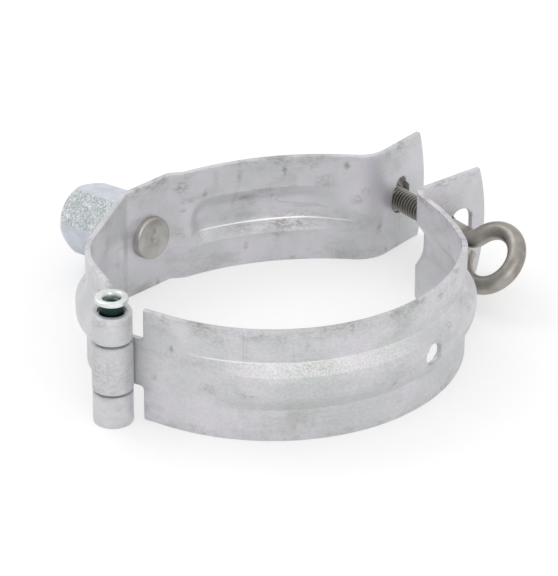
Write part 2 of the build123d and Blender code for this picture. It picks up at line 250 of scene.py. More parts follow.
class Graph:
    """Node tree with short calls that add and join its nodes."""

    def __init__(self, tree: bpy.types.NodeTree) -> None:
        """Start from an existing tree."""
        self.tree = tree

    def node(self, kind: str, **settings: object) -> bpy.types.Node:
        """Add a node of a kind and set its properties.

        Args:
            kind: Type name of the node.
            settings: Properties of the node and their values.

        Returns:
            The new node.
        """
        made = self.tree.nodes.new(kind)
        for name, value in settings.items():
            setattr(made, name, value)
        return made

    def feed(self, socket: bpy.types.NodeSocket, value: object) -> None:
        """Join a socket to another one, or give it a plain value.

        Args:
            socket: Input socket.
            value: Output socket, plain value, or None to leave it alone.
        """
        if isinstance(value, bpy.types.NodeSocket):
            self.tree.links.new(value, socket)
        elif value is not None:
            socket.default_value = value

    def place(
        self, turn: tuple[float, float, float], stretch: tuple[float, float, float]
    ) -> bpy.types.NodeSocket:
        """Object coordinates, turned and stretched.

        Args:
            turn: Turn about each axis, in degrees.
            stretch: Scale along each axis.

        Returns:
            The vector socket.
        """
        mapping = self.node("ShaderNodeMapping", vector_type="POINT")
        self.feed(mapping.inputs["Vector"], self.node("ShaderNodeTexCoord").outputs["Object"])
        mapping.inputs["Rotation"].default_value = [math.radians(angle) for angle in turn]
        mapping.inputs["Scale"].default_value = stretch
        return mapping.outputs["Vector"]

    def noise(
        self, size: object, detail: float = 4.0, rough: float = 0.5, vector: object = None
    ) -> bpy.types.NodeSocket:
        """Noise whose lumps are about a size across.

        Args:
            size: Scale socket or number, in lumps per metre.
            detail: Octaves.
            rough: Weight of the finer octaves.
            vector: Coordinates, or None for plain Object coordinates.

        Returns:
            The factor socket, about 0.5 in the mean.
        """
        made = self.node("ShaderNodeTexNoise", noise_dimensions="3D", normalize=True)
        vector = vector or self.node("ShaderNodeTexCoord").outputs["Object"]
        self.feed(made.inputs["Vector"], vector)
        self.feed(made.inputs["Scale"], size)
        self.feed(made.inputs["Detail"], detail)
        self.feed(made.inputs["Roughness"], rough)
        return made.outputs["Fac"]

    def sift(
        self, value: object, low: object, high: object, to_low: float = 0.0, to_high: float = 1.0
    ) -> bpy.types.NodeSocket:
        """Smooth step of a value between two bounds.

        Args:
            value: Socket to sift.
            low: Bound that gives to_low.
            high: Bound that gives to_high.
            to_low: Result at the low bound.
            to_high: Result at the high bound.

        Returns:
            The result socket.
        """
        made = self.node("ShaderNodeMapRange", interpolation_type="SMOOTHSTEP")
        for name, item in zip(
            ("Value", "From Min", "From Max", "To Min", "To Max"),
            (value, low, high, to_low, to_high),
        ):
            self.feed(made.inputs[name], item)
        return made.outputs["Result"]

    def calc(self, rule: str, first: object, second: object = None) -> bpy.types.NodeSocket:
        """Arithmetic on one or two values.

        Args:
            rule: Operation of the Math node.
            first: First socket or number.
            second: Second socket or number, or None where the operation has one.

        Returns:
            The value socket.
        """
        made = self.node("ShaderNodeMath", operation=rule)
        self.feed(made.inputs[0], first)
        self.feed(made.inputs[1], second)
        return made.outputs["Value"]

    def mix(self, amount: object, under: object, over: object) -> bpy.types.NodeSocket:
        """Colour that goes from one to the other with an amount from 0 to 1.

        Args:
            amount: Share of the upper colour.
            under: Colour at 0.
            over: Colour at 1.

        Returns:
            The colour socket.
        """
        made = self.node("ShaderNodeMix", data_type="RGBA", clamp_factor=True)
        self.feed(made.inputs["Factor"], amount)
        self.feed(made.inputs["A"], under)
        self.feed(made.inputs["B"], over)
        return next(socket for socket in made.outputs if socket.type == "RGBA")

    def marked(self, name: str) -> bpy.types.NodeSocket:
        """Number that a piece carries at its vertices, 0 where it has none."""
        return self.node("ShaderNodeAttribute", attribute_name=name).outputs["Fac"]

    def group(self, tree: bpy.types.NodeTree, **values: object) -> bpy.types.Node:
        """Place a node group and set its inputs.

        Args:
            tree: Node group.
            values: Values of its inputs, by their names in small letters.

        Returns:
            The group node.
        """
        made = self.node("ShaderNodeGroup", node_tree=tree)
        for name, value in values.items():
            self.feed(made.inputs[name.replace("_", " ").title()], value)
        return made

    def mask(self, tree: bpy.types.NodeTree, **values: float) -> bpy.types.NodeSocket:
        """Place a node group, set its inputs and give back its mask."""
        return self.group(tree, **values).outputs["Mask"]

    def wash(
        self, base: object, mask: object, amount: object, tint: tuple[float, float, float]
    ) -> bpy.types.NodeSocket:
        """Lay a tint over a colour where a mask says.

        Args:
            base: Colour below.
            mask: Where the tint lies, from 0 to 1.
            amount: Share of the tint where the mask is 1.
            tint: Colour laid over, in screen values.

        Returns:
            The colour socket.
        """
        return self.mix(self.calc("MULTIPLY", mask, amount), base, colour(*tint))


def colour(red: float, green: float, blue: float) -> tuple[float, float, float, float]:
    """Colour for a socket from its screen values, 0 to 255.

    Args:
        red: Red value.
        green: Green value.
        blue: Blue value.

    Returns:
        The linear colour, opaque.
    """
    linear = [
        value / 12.92 if value <= 0.04045 else ((value + 0.055) / 1.055) ** 2.4
        for value in (red / 255, green / 255, blue / 255)
    ]
    return (*linear, 1.0)


class Effects:
    """Surface effects that several finishes share, each a node group."""

    def __init__(self) -> None:
        """Build every group once."""
        self.blotch = self.blotches()
        self.scratch = self.scratches()
        self.nick = self.nicks()
        self.grained = self.grain()

    @staticmethod
    def open_group(
        name: str, inputs: dict[str, float], outputs: tuple[str, ...]
    ) -> tuple[Graph, dict[str, object], bpy.types.Node]:
        """Begin a node group with number sockets.

        Args:
            name: Name of the group.
            inputs: Input names and their usual values.
            outputs: Output names.

        Returns:
            The graph, its input sockets by name, and its output node.
        """
        tree = bpy.data.node_groups.new(name, "ShaderNodeTree")
        for label, value in inputs.items():
            socket = tree.interface.new_socket(
                name=label, in_out="INPUT", socket_type="NodeSocketFloat"
            )
            socket.default_value = value
        for label in outputs:
            tree.interface.new_socket(name=label, in_out="OUTPUT", socket_type="NodeSocketFloat")
        graph = Graph(tree)
        entry = graph.node("NodeGroupInput")
        sockets = {label: entry.outputs[label] for label in inputs}
        return graph, sockets, graph.node("NodeGroupOutput")

    @staticmethod
    def blotches() -> bpy.types.NodeTree:
        """Ragged patches where a coating has dulled.

        Returns:
            Group with inputs Scale, Cover and Ragged, and output Mask.
        """
        graph, given, result = Effects.open_group(
            "blotches", {"Scale": 60.0, "Cover": 0.5, "Ragged": 0.5}, ("Mask",)
        )
        lying = graph.place((0, 0, 0), (1, 1, 2.2))
        broad = graph.noise(given["Scale"], 2.0, 0.5, lying)
        fine = graph.noise(graph.calc("MULTIPLY", given["Scale"], 6.0), 5.0, 0.6, lying)
        shift = graph.calc("MULTIPLY", graph.calc("SUBTRACT", fine, 0.5), given["Ragged"])
        edge = graph.calc("SUBTRACT", 0.72, graph.calc("MULTIPLY", given["Cover"], 0.36))
        mask = graph.sift(graph.calc("ADD", broad, shift), edge, graph.calc("ADD", edge, 0.3))
        graph.feed(result.inputs["Mask"], mask)
        return graph.tree

    @staticmethod
    def scratches() -> bpy.types.NodeTree:
        """Short fine scratches in two directions.

        Returns:
            Group with inputs Scale and Width, and output Mask.
        """
        graph, given, result = Effects.open_group(
            "scratches", {"Scale": 220.0, "Width": 0.012}, ("Mask",)
        )
        lines = []
        for turn, stretch in (((20, 15, 35), (1, 1, 0.12)), ((80, 40, 10), (0.1, 1, 1))):
            way = graph.place(turn, stretch)
            wavy = graph.noise(given["Scale"], 1.0, 0.4, way)
            off = graph.calc("ABSOLUTE", graph.calc("SUBTRACT", wavy, 0.5))
            line = graph.sift(off, given["Width"], 0.0)
            there = graph.noise(graph.calc("MULTIPLY", given["Scale"], 1.1), 2.0, 0.5, way)
            lines.append(graph.calc("MULTIPLY", line, graph.sift(there, 0.6, 0.66)))
        graph.feed(result.inputs["Mask"], graph.calc("MAXIMUM", *lines))
        return graph.tree

    @staticmethod
    def nicks() -> bpy.types.NodeTree:
        """Small scattered dents.

        Returns:
            Group with inputs Scale, Size and Share, and output Mask.
        """
        graph, given, result = Effects.open_group(
            "nicks", {"Scale": 160.0, "Size": 0.16, "Share": 0.2}, ("Mask",)
        )
        warp = graph.node("ShaderNodeTexNoise", noise_dimensions="3D")
        graph.feed(warp.inputs["Vector"], graph.node("ShaderNodeTexCoord").outputs["Object"])
        graph.feed(warp.inputs["Scale"], graph.calc("MULTIPLY", given["Scale"], 5.0))
        bent = graph.node("ShaderNodeVectorMath", operation="MULTIPLY_ADD")
        graph.feed(bent.inputs[0], warp.outputs["Color"])
        graph.feed(bent.inputs[1], (0.0014, 0.0014, 0.0014))
        graph.feed(bent.inputs[2], graph.place((10, 25, 40), (1, 1, 0.55)))
        cells = graph.node("ShaderNodeTexVoronoi", voronoi_dimensions="3D", feature="F1")
        graph.feed(cells.inputs["Vector"], bent.outputs["Vector"])
        graph.feed(cells.inputs["Scale"], given["Scale"])
        pick = graph.node("ShaderNodeSeparateColor")
        graph.feed(pick.inputs[0], cells.outputs["Color"])
        there = graph.calc("LESS_THAN", pick.outputs[0], given["Share"])
        dent = graph.sift(cells.outputs["Distance"], given["Size"], 0.0)
        graph.feed(result.inputs["Mask"], graph.calc("MULTIPLY", dent, there))
        return graph.tree

    @staticmethod
    def grain() -> bpy.types.NodeTree:
        """Fine grain of a crystalline or blasted surface.

        Returns:
            Group with input Scale, and outputs Fine and Coarse.
        """
        graph, given, result = Effects.open_group("grain", {"Scale": 2200.0}, ("Fine", "Coarse"))
        graph.feed(result.inputs["Fine"], graph.noise(given["Scale"], 3.0, 0.7))
        coarse = graph.calc("MULTIPLY", given["Scale"], 0.16)
        graph.feed(result.inputs["Coarse"], graph.noise(coarse, 3.0, 0.55))
        return graph.tree


class Metal:
    """Material with one Principled shader, ready for its colour, roughness and relief."""

    def __init__(self, name: str, metallic: float) -> None:
        """Make the material.

        Args:
            name: Name of the material.
            metallic: Share of metallic reflection.
        """
        self.material = bpy.data.materials.new(name)
        self.material.use_nodes = True
        self.graph = Graph(self.material.node_tree)
        self.shader = next(
            node for node in self.material.node_tree.nodes if node.type == "BSDF_PRINCIPLED"
        )
        self.shader.inputs["Metallic"].default_value = metallic
        self.normal = None

    def paint(self, base: object, roughness: object) -> None:
        """Set the colour and the roughness."""
        self.graph.feed(self.shader.inputs["Base Color"], base)
        self.graph.feed(self.shader.inputs["Roughness"], roughness)

    def relief(self, height: object, depth: float, strength: float) -> None:
        """Add a bump, over those there are.

        Args:
            height: Height socket.
            depth: Real depth of the relief, in metres.
            strength: Strength of the bump.
        """
        bump = self.graph.node("ShaderNodeBump")
        bump.inputs["Strength"].default_value = strength
        bump.inputs["Distance"].default_value = depth
        self.graph.feed(bump.inputs["Height"], height)
        if self.normal is not None:
            self.graph.feed(bump.inputs["Normal"], self.normal)
        self.normal = bump.outputs["Normal"]
        self.graph.feed(self.shader.inputs["Normal"], self.normal)


@dataclass(frozen=True)
class GalvanisedSheet:
    """Hot-dip galvanised sheet: cloudy pale grey, dulled in patches and nicked, with painted highlights on its
    beads.
    """

    name: str
    clean: tuple[float, float, float] = (214, 211, 218)
    cloudy: tuple[float, float, float] = (199, 202, 203)
    dull: tuple[float, float, float] = (160, 162, 157)
    dark: tuple[float, float, float] = (98, 94, 82)
    # Pale grain colour of the speckle, and of the painted highlight on bead slopes.
    bright: tuple[float, float, float] = (236, 235, 234)
    # Colour of the painted highlight along a bead's crease.
    glint_colour: tuple[float, float, float] = (248, 248, 245)
    rust: tuple[float, float, float] = (176, 120, 112)
    patch_depth: float = 0.42
    smear_depth: float = 0.5
    foot_share: float = 0.6
    stain_depth: float = 0.75
    speckle_depth: float = 0.2
    scratch_depth: float = 0.3
    nick_depth: float = 0.55
    rust_depth: float = 0.5
    # Roughness taken off along the painted crease highlight.
    crease_gloss: float = 0.2
    metallic: float = 0.45
    roughness: float = 0.46
    strap_width: float = 30 * MM
    edge_band: float = 4 * MM

    def rims(self, graph: Graph) -> bpy.types.NodeSocket:
        """Mask of the bands along the upper and the lower rim of a strap.

        Args:
            graph: Node tree of the material.

        Returns:
            The mask socket.
        """
        split = graph.node("ShaderNodeSeparateXYZ")
        graph.feed(split.inputs[0], graph.node("ShaderNodeTexCoord").outputs["Object"])
        height = split.outputs["Z"]
        top = graph.sift(height, self.strap_width - self.edge_band, self.strap_width)
        foot = graph.sift(height, self.edge_band, 0.0)
        return graph.calc("MAXIMUM", top, graph.calc("MULTIPLY", foot, self.foot_share))

    def stains(self, graph: Graph) -> bpy.types.NodeSocket:
        """Mask of the marked stains, broken up by a fine ragged pattern.

        Args:
            graph: Node tree of the material.

        Returns:
            The mask socket.
        """
        streaks = graph.place((0, 0, 0), (1, 1, 1.8))
        ragged = graph.sift(graph.noise(900.0, 4.0, 0.6, streaks), 0.4, 0.62, 0.25, 1.0)
        return graph.calc("MULTIPLY", graph.marked("stain"), ragged)

    def material(self, effects: Effects) -> bpy.types.Material:
        """Build the material.

        Args:
            effects: Shared surface effects.

        Returns:
            The material.
        """
        metal = Metal(self.name, self.metallic)
        graph = metal.graph
        grain = graph.group(effects.grained, scale=2600.0)
        cloud = graph.noise(55.0, 5.0, 0.6)
        base = graph.mix(graph.sift(cloud, 0.35, 0.65), colour(*self.clean), colour(*self.cloudy))
        patches = graph.mask(effects.blotch, scale=75.0, cover=0.65, ragged=0.5)
        base = graph.wash(base, patches, self.patch_depth, self.dull)
        smears = graph.mask(effects.blotch, scale=130.0, cover=0.7, ragged=0.7)
        smears = graph.calc("MULTIPLY", self.rims(graph), smears)
        base = graph.wash(base, smears, self.smear_depth, self.dark)
        base = graph.wash(base, self.stains(graph), self.stain_depth, self.dark)
        # Painted highlight: bright grain on the bead slopes that face the light.
        sheen_grain = graph.sift(grain.outputs["Fine"], 0.4, 0.62, 0.1, 0.65)
        base = graph.wash(base, graph.marked("slope_sheen"), sheen_grain, self.bright)
        speckle = graph.sift(grain.outputs["Fine"], 0.35, 0.7)
        base = graph.wash(base, speckle, self.speckle_depth, self.bright)
        scratches = graph.mask(effects.scratch, scale=190.0, width=0.02)
        base = graph.wash(base, scratches, self.scratch_depth, self.dull)
        nicks = graph.mask(effects.nick, scale=190.0, size=0.22, share=0.12)
        base = graph.wash(base, nicks, self.nick_depth, self.dark)
        specks = graph.mask(effects.nick, scale=90.0, size=0.09, share=0.04)
        base = graph.wash(base, specks, self.rust_depth, self.rust)
        # Painted highlight along a bead's crease, slightly less rough there.
        crease_glint = graph.marked("crease_glint")
        base = graph.mix(crease_glint, base, colour(*self.glint_colour))
        rough = graph.sift(cloud, 0.3, 0.7, self.roughness - 0.06, self.roughness + 0.1)
        shine = graph.calc("MULTIPLY", crease_glint, self.crease_gloss)
        metal.paint(base, graph.calc("SUBTRACT", rough, shine))
        metal.relief(graph.noise(70.0, 2.0, 0.5), 0.5 * MM, 0.5)
        metal.relief(grain.outputs["Coarse"], 0.05 * MM, 0.35)
        metal.relief(graph.calc("MULTIPLY", nicks, -1.0), 0.12 * MM, 0.8)
        return metal.material


@dataclass(frozen=True)
class PlatedZinc:
    """Electroplated zinc: smooth and slightly blue, with a fine haze, and painted shade in the hollows a piece
    marks.
    """

    name: str
    tint: tuple[float, float, float] = (214, 217, 226)
    hazy: tuple[float, float, float] = (195, 200, 210)
    dark: tuple[float, float, float] = (120, 130, 132)
    light: tuple[float, float, float] = (246, 250, 252)
    shadow: tuple[float, float, float] = (34, 58, 56)
    metallic: float = 0.7
    roughness: float = 0.34
    worked: float = 0.12

    def material(self, effects: Effects) -> bpy.types.Material:
        """Build the material.

        Args:
            effects: Shared surface effects.

        Returns:
            The material.
        """
        metal = Metal(self.name, self.metallic)
        graph = metal.graph
        grain = graph.group(effects.grained, scale=3200.0)
        haze = graph.sift(graph.noise(140.0, 4.0, 0.6), 0.35, 0.65)
        base = graph.mix(haze, colour(*self.tint), colour(*self.hazy))
        crystals = graph.noise(1700.0, 3.0, 0.65)
        pits = graph.sift(crystals, 0.48, 0.36)
        base = graph.wash(base, pits, self.worked, self.dark)
        glints = graph.sift(crystals, 0.54, 0.64)
        base = graph.wash(base, glints, self.worked, self.light)
        lines = graph.mask(effects.scratch, scale=420.0, width=0.03)
        base = graph.wash(base, lines, self.worked, self.light)
        # Painted shade in the marked hollows, such as the pin's neck and hollow.
        base = graph.mix(graph.marked("hollow"), base, colour(*self.shadow))
        rough = graph.sift(
            grain.outputs["Coarse"], 0.3, 0.7, self.roughness, self.roughness + 0.2
        )
        metal.paint(base, rough)
        metal.relief(crystals, 0.14 * MM, self.worked)
        metal.relief(graph.calc("MULTIPLY", lines, -1.0), 0.06 * MM, self.worked)
        return metal.material


@dataclass(frozen=True)
class BareMetal:
    """Drawn or turned bright metal with a soft sheen and faint handling marks."""

    name: str
    tint: tuple[float, float, float] = (174, 170, 163)
    dusky: tuple[float, float, float] = (144, 139, 132)
    dark: tuple[float, float, float] = (98, 94, 88)
    # Painted shade for the thread roots.
    root_shade: tuple[float, float, float] = (44, 40, 32)
    metallic: float = 0.9
    roughness: float = 0.33
    nick_depth: float = 0.5
    scratch_depth: float = 0.35

    def material(self, effects: Effects) -> bpy.types.Material:
        """Build the material.

        Args:
            effects: Shared surface effects.

        Returns:
            The material.
        """
        metal = Metal(self.name, self.metallic)
        graph = metal.graph
        grain = graph.group(effects.grained, scale=3600.0)
        cloud = graph.sift(graph.noise(160.0, 4.0, 0.6), 0.35, 0.68)
        base = graph.mix(cloud, colour(*self.tint), colour(*self.dusky))
        nicks = graph.mask(effects.nick, scale=260.0, size=0.22, share=0.14)
        base = graph.wash(base, nicks, self.nick_depth, self.dark)
        lines = graph.mask(effects.scratch, scale=380.0, width=0.012)
        base = graph.wash(base, lines, self.scratch_depth, self.dusky)
        # Painted shade in the marked hollows, the thread roots of the bolt.
        base = graph.mix(graph.marked("hollow"), base, colour(*self.root_shade))
        rough = graph.sift(
            grain.outputs["Fine"], 0.3, 0.7, self.roughness - 0.04, self.roughness + 0.12
        )
        metal.paint(base, rough)
        metal.relief(grain.outputs["Coarse"], 0.03 * MM, 0.3)
        metal.relief(graph.calc("MULTIPLY", nicks, -1.0), 0.05 * MM, 0.6)
        return metal.material


def joint(name: str) -> dict:
    """Joint of the frame by its name."""
    return next(item for item in frame["joints"] if item["name"] == name)


def mount(name: str) -> dict:
    """Mount of the record by its name."""
    return next(item for item in frame["record"]["mounts"] if item["name"] == name)


@dataclass
class Turning:
    """Round piece about an axis, drawn out ring by ring from a short cylinder."""

    origin: Vector
    axis: Vector
    segments: int = 72

    def start(self, name: str, radius: float, low: float, high: float) -> bpy.types.Object:
        """Cylinder between two heights over the origin.

        Args:
            name: Name of the piece.
            radius: Radius, in metres.
            low: Height of its lower end along the axis.
            high: Height of its upper end.

        Returns:
            The new piece.
        """
        Bench.clear()
        bpy.ops.mesh.primitive_cylinder_add(
            vertices=self.segments,
            radius=radius,
            depth=high - low,
            end_fill_type="NGON",
            location=self.origin + self.axis * (low + high) / 2,
            rotation=self.axis.to_track_quat("Z", "Y").to_euler(),
        )
        piece = bpy.context.active_object
        piece.name = piece.data.name = name
        bpy.ops.object.transform_apply(location=True, rotation=True, scale=True)
        return piece

    def draw_out(
        self, piece: bpy.types.Object, upper: bool, rings: tuple[tuple[float, float], ...]
    ) -> None:
        """Extrude one end through rings of a radius and a height.

        Args:
            piece: Piece made by start.
            upper: Whether its upper end is drawn out.
            rings: Radius and height of each ring in turn, in metres.
        """
        way = 1 if upper else -1
        with Bench.editing(piece):
            Bench.select_faces(piece, lambda face: face.normal.dot(self.axis) * way > 0.99)
            mesh = bmesh.from_edit_mesh(piece.data)
            face = next(item for item in mesh.faces if item.select)
            height = (face.verts[0].co - self.origin).dot(self.axis)
            foot = self.origin + self.axis * height
            radius = (face.verts[0].co - foot).length
            for next_radius, next_height in rings:
                move = self.axis * (next_height - height)
                bpy.ops.mesh.extrude_region_move(TRANSFORM_OT_translate={"value": move})
                height = next_height
                ratio = next_radius / radius
                bpy.ops.transform.resize(
                    value=(ratio, ratio, ratio),
                    center_override=self.origin + self.axis * height,
                )
                radius = next_radius


@dataclass
class Thread:
    """Helical screw thread along +z, cut square at both ends."""

    crest: float
    root: float
    pitch: float
    length: float
    steps: int = 32

    def build(self, name: str) -> bpy.types.Object:
        """Sweep one tooth round and up, and close the ends.

        Args:
            name: Name of the piece.

        Returns:
            The thread, with its lower end at the world's origin.
        """
        tooth = (
            (self.root, 0.0),
            (self.root, 0.125),
            (self.crest, 0.4375),
            (self.crest, 0.5625),
            (self.root, 0.875),
            (self.root, 1.0),
        )
        mesh = bpy.data.meshes.new(name)
        points = [(radius, 0.0, (share - 1.0) * self.pitch) for radius, share in tooth]
        mesh.from_pydata(points, [(i, i + 1) for i in range(len(points) - 1)], [])
        piece = bpy.data.objects.new(name, mesh)
        bpy.context.scene.collection.objects.link(piece)
        sweep = piece.modifiers.new("sweep", "SCREW")
        sweep.axis = "Z"
        sweep.screw_offset = self.pitch
        sweep.iterations = math.ceil(self.length / self.pitch) + 2
        sweep.steps = sweep.render_steps = self.steps
        sweep.use_merge_vertices = True
        Bench.apply(piece, sweep)
        with Bench.editing(piece):
            bpy.ops.mesh.select_all(action="SELECT")
            bpy.ops.mesh.remove_doubles(threshold=0.002 * MM)
            for height, below in ((0.0, True), (self.length, False)):
                bpy.ops.mesh.select_all(action="SELECT")
                bpy.ops.mesh.bisect(
                    plane_co=(0, 0, height),
                    plane_no=(0, 0, 1),
                    use_fill=True,
                    clear_inner=below,
                    clear_outer=not below,
                )
            bpy.ops.mesh.select_all(action="SELECT")
            bpy.ops.mesh.normals_make_consistent(inside=False)
        return piece

    def shape_ends(self, piece: bpy.types.Object, limit: Callable[[float, float], float]) -> None:
        """Move each point to a new radius.

        Args:
            piece: Thread made by build.
            limit: Gives the new radius from a point's radius and height.
        """
        for point in piece.data.vertices:
            radius = math.hypot(point.co.x, point.co.y)
            if radius > 0:
                scale = limit(radius, point.co.z) / radius
                point.co.x *= scale
                point.co.y *= scale

    @staticmethod
    def stand(piece: bpy.types.Object, foot: Vector, axis: Vector) -> None:
        """Put a thread's lower end at a point, pointing along an axis.

        Args:
            piece: Thread at the world's origin.
            foot: New place of its lower end.
            axis: New direction of its length.
        """
        turn = axis.to_track_quat("Z", "Y").to_matrix().to_4x4()
        piece.data.transform(Matrix.Translation(foot) @ turn)


@dataclass
class BendLine:
    """Middle line of a bent strap in plan: runs and bends, each tangent to the one before."""

    x: float
    y: float
    heading: float
    length: float = 0.0
    legs: list[tuple[float, float, float, float, float]] = field(default_factory=list)

    def go(self, length: float, turn: float) -> "BendLine":
        """Add a leg.

        Args:
            length: Length of the leg, in metres.
            turn: Turn over the whole leg, in degrees, to the left where positive.

        Returns:
            The line itself.
        """
        curve = math.radians(turn) / length
        self.legs.append((self.length, self.x, self.y, self.heading, curve))
        self.x, self.y, self.heading = self.along_leg(self.legs[-1], length)
        self.length += length
        return self

    def run(self, length: float) -> "BendLine":
        """Add a straight leg."""
        return self.go(length, 0.0)

    def bend_to(self, radius: float, heading: float) -> "BendLine":
        """Add a bend of a radius until the line has a heading in degrees."""
        turn = heading - self.heading
        return self.go(radius * math.radians(abs(turn)), turn)

    @staticmethod
    def along_leg(
        leg: tuple[float, float, float, float, float], step: float
    ) -> tuple[float, float, float]:
        """Place and heading a step along one leg.

        Args:
            leg: Start distance, place, heading and curvature.
            step: Distance from the leg's start, in metres.

        Returns:
            The x, the y and the heading in degrees.
        """
        _, x, y, heading, curve = leg
        before = math.radians(heading)
        if abs(curve) < 1e-9:
            return x + step * math.cos(before), y + step * math.sin(before), heading
        after = before + step * curve
        return (
            x + (math.sin(after) - math.sin(before)) / curve,
            y - (math.cos(after) - math.cos(before)) / curve,
            math.degrees(after),
        )

    def at(self, distance: float) -> tuple[float, float, float]:
        """Place and heading at a distance from the line's start."""
        leg = next((item for item in reversed(self.legs) if item[0] <= distance), self.legs[0])
        return self.along_leg(leg, distance - leg[0])


@dataclass(frozen=True)
class Patch:
    """Darker patch on a strap, such as a stain: its middle along and up the strap, its half sizes and its depth.
    """

    along: float
    height: float
    half_length: float
    half_height: float
    depth: float = 1.0

    def strength(self, along: float, height: float) -> float:
        """How strongly the patch darkens a place, in millimetres, from 0 to 1.

        Args:
            along: Distance of the place along the strap.
            height: Its height.

        Returns:
            The strength.
        """
        far = math.hypot(
            (along - self.along) / self.half_length, (height - self.height) / self.half_height
        )
        return self.depth * max(0.0, 1.25 - far) / 1.25


@dataclass(frozen=True)
class Bead:
    """Stiffening bead pressed out of a strap.

    An end is either long, where the bead rises out of the sheet little by little, or round.
    """

    start: float
    end: float
    long_in: float = 0.0
    long_out: float = 0.0
    round_in: float = 0.0
    round_out: float = 0.0
    # Row, side, start and fading of the painted highlight along the crease.
    bright_row: float = 0.0
    bright_inside: bool = False
    bright_start: float = 6 * MM
    bright_end: float = 1.0
    bright_fade: float = 14 * MM
    bright_loss: float = 0.8
    # Start, end and fade of the painted highlight on a slope.
    sheen_start: float = 0.0
    sheen_end: float = 0.0
    sheen_fade: float = 4 * MM
    foot: float = 6.45 * MM
    shoulder: float = 3.5 * MM
    crest: float = 1.6 * MM
    shoulder_rise: float = 1.9 * MM
    rise: float = 2.6 * MM

    @staticmethod
    def ease(distance: float, length: float) -> float:
        """Smooth rise from 0 to 1 over a length, or 1 where there is no length.

        Args:
            distance: Distance from the start of the rise.
            length: Length of the rise.

        Returns:
            The share of the full height.
        """
        if length <= 0:
            return 1.0
        share = min(max(distance / length, 0.0), 1.0)
        return share * share * (3 - 2 * share)

    def height(self, along: float, off: float) -> float:
        """Rise of the bead over the flat sheet.

        Args:
            along: Distance along the strap.
            off: Distance from the strap's middle height, either way.

        Returns:
            The rise, in metres.
        """
        if not self.start < along < self.end:
            return 0.0
        before, after = along - self.start, self.end - along
        for distance, length in ((before, self.round_in), (after, self.round_out)):
            if distance < length:
                off = math.hypot(off, (1 - distance / length) * self.foot)
        off = abs(off)
        if off >= self.foot:
            return 0.0
        if off > self.shoulder:
            full = self.shoulder_rise * (self.foot - off) / (self.foot - self.shoulder)
        else:
            share = min(1.0, (self.shoulder - off) / (self.shoulder - self.crest))
            dome = (self.rise - self.shoulder_rise) * math.sin(share * math.pi / 2)
            full = self.shoulder_rise + dome
        return full * self.ease(before, self.long_in) * self.ease(after, self.long_out)

    def rows(self) -> list[float]:
        """Offsets from the middle height at which the sheet is divided to form the bead.

        Returns:
            The offsets, in metres, on one side of the middle.
        """
        span = self.foot - self.shoulder
        line = 0.25 * MM
        offsets = [self.foot + line, self.foot, self.foot - line, self.foot - span / 3]
        offsets += [self.foot - 2 * span / 3, self.shoulder + line, self.shoulder]
        offsets += [self.shoulder - line, (self.shoulder + self.crest) / 2]
        return [*offsets, self.crest, self.crest / 2]


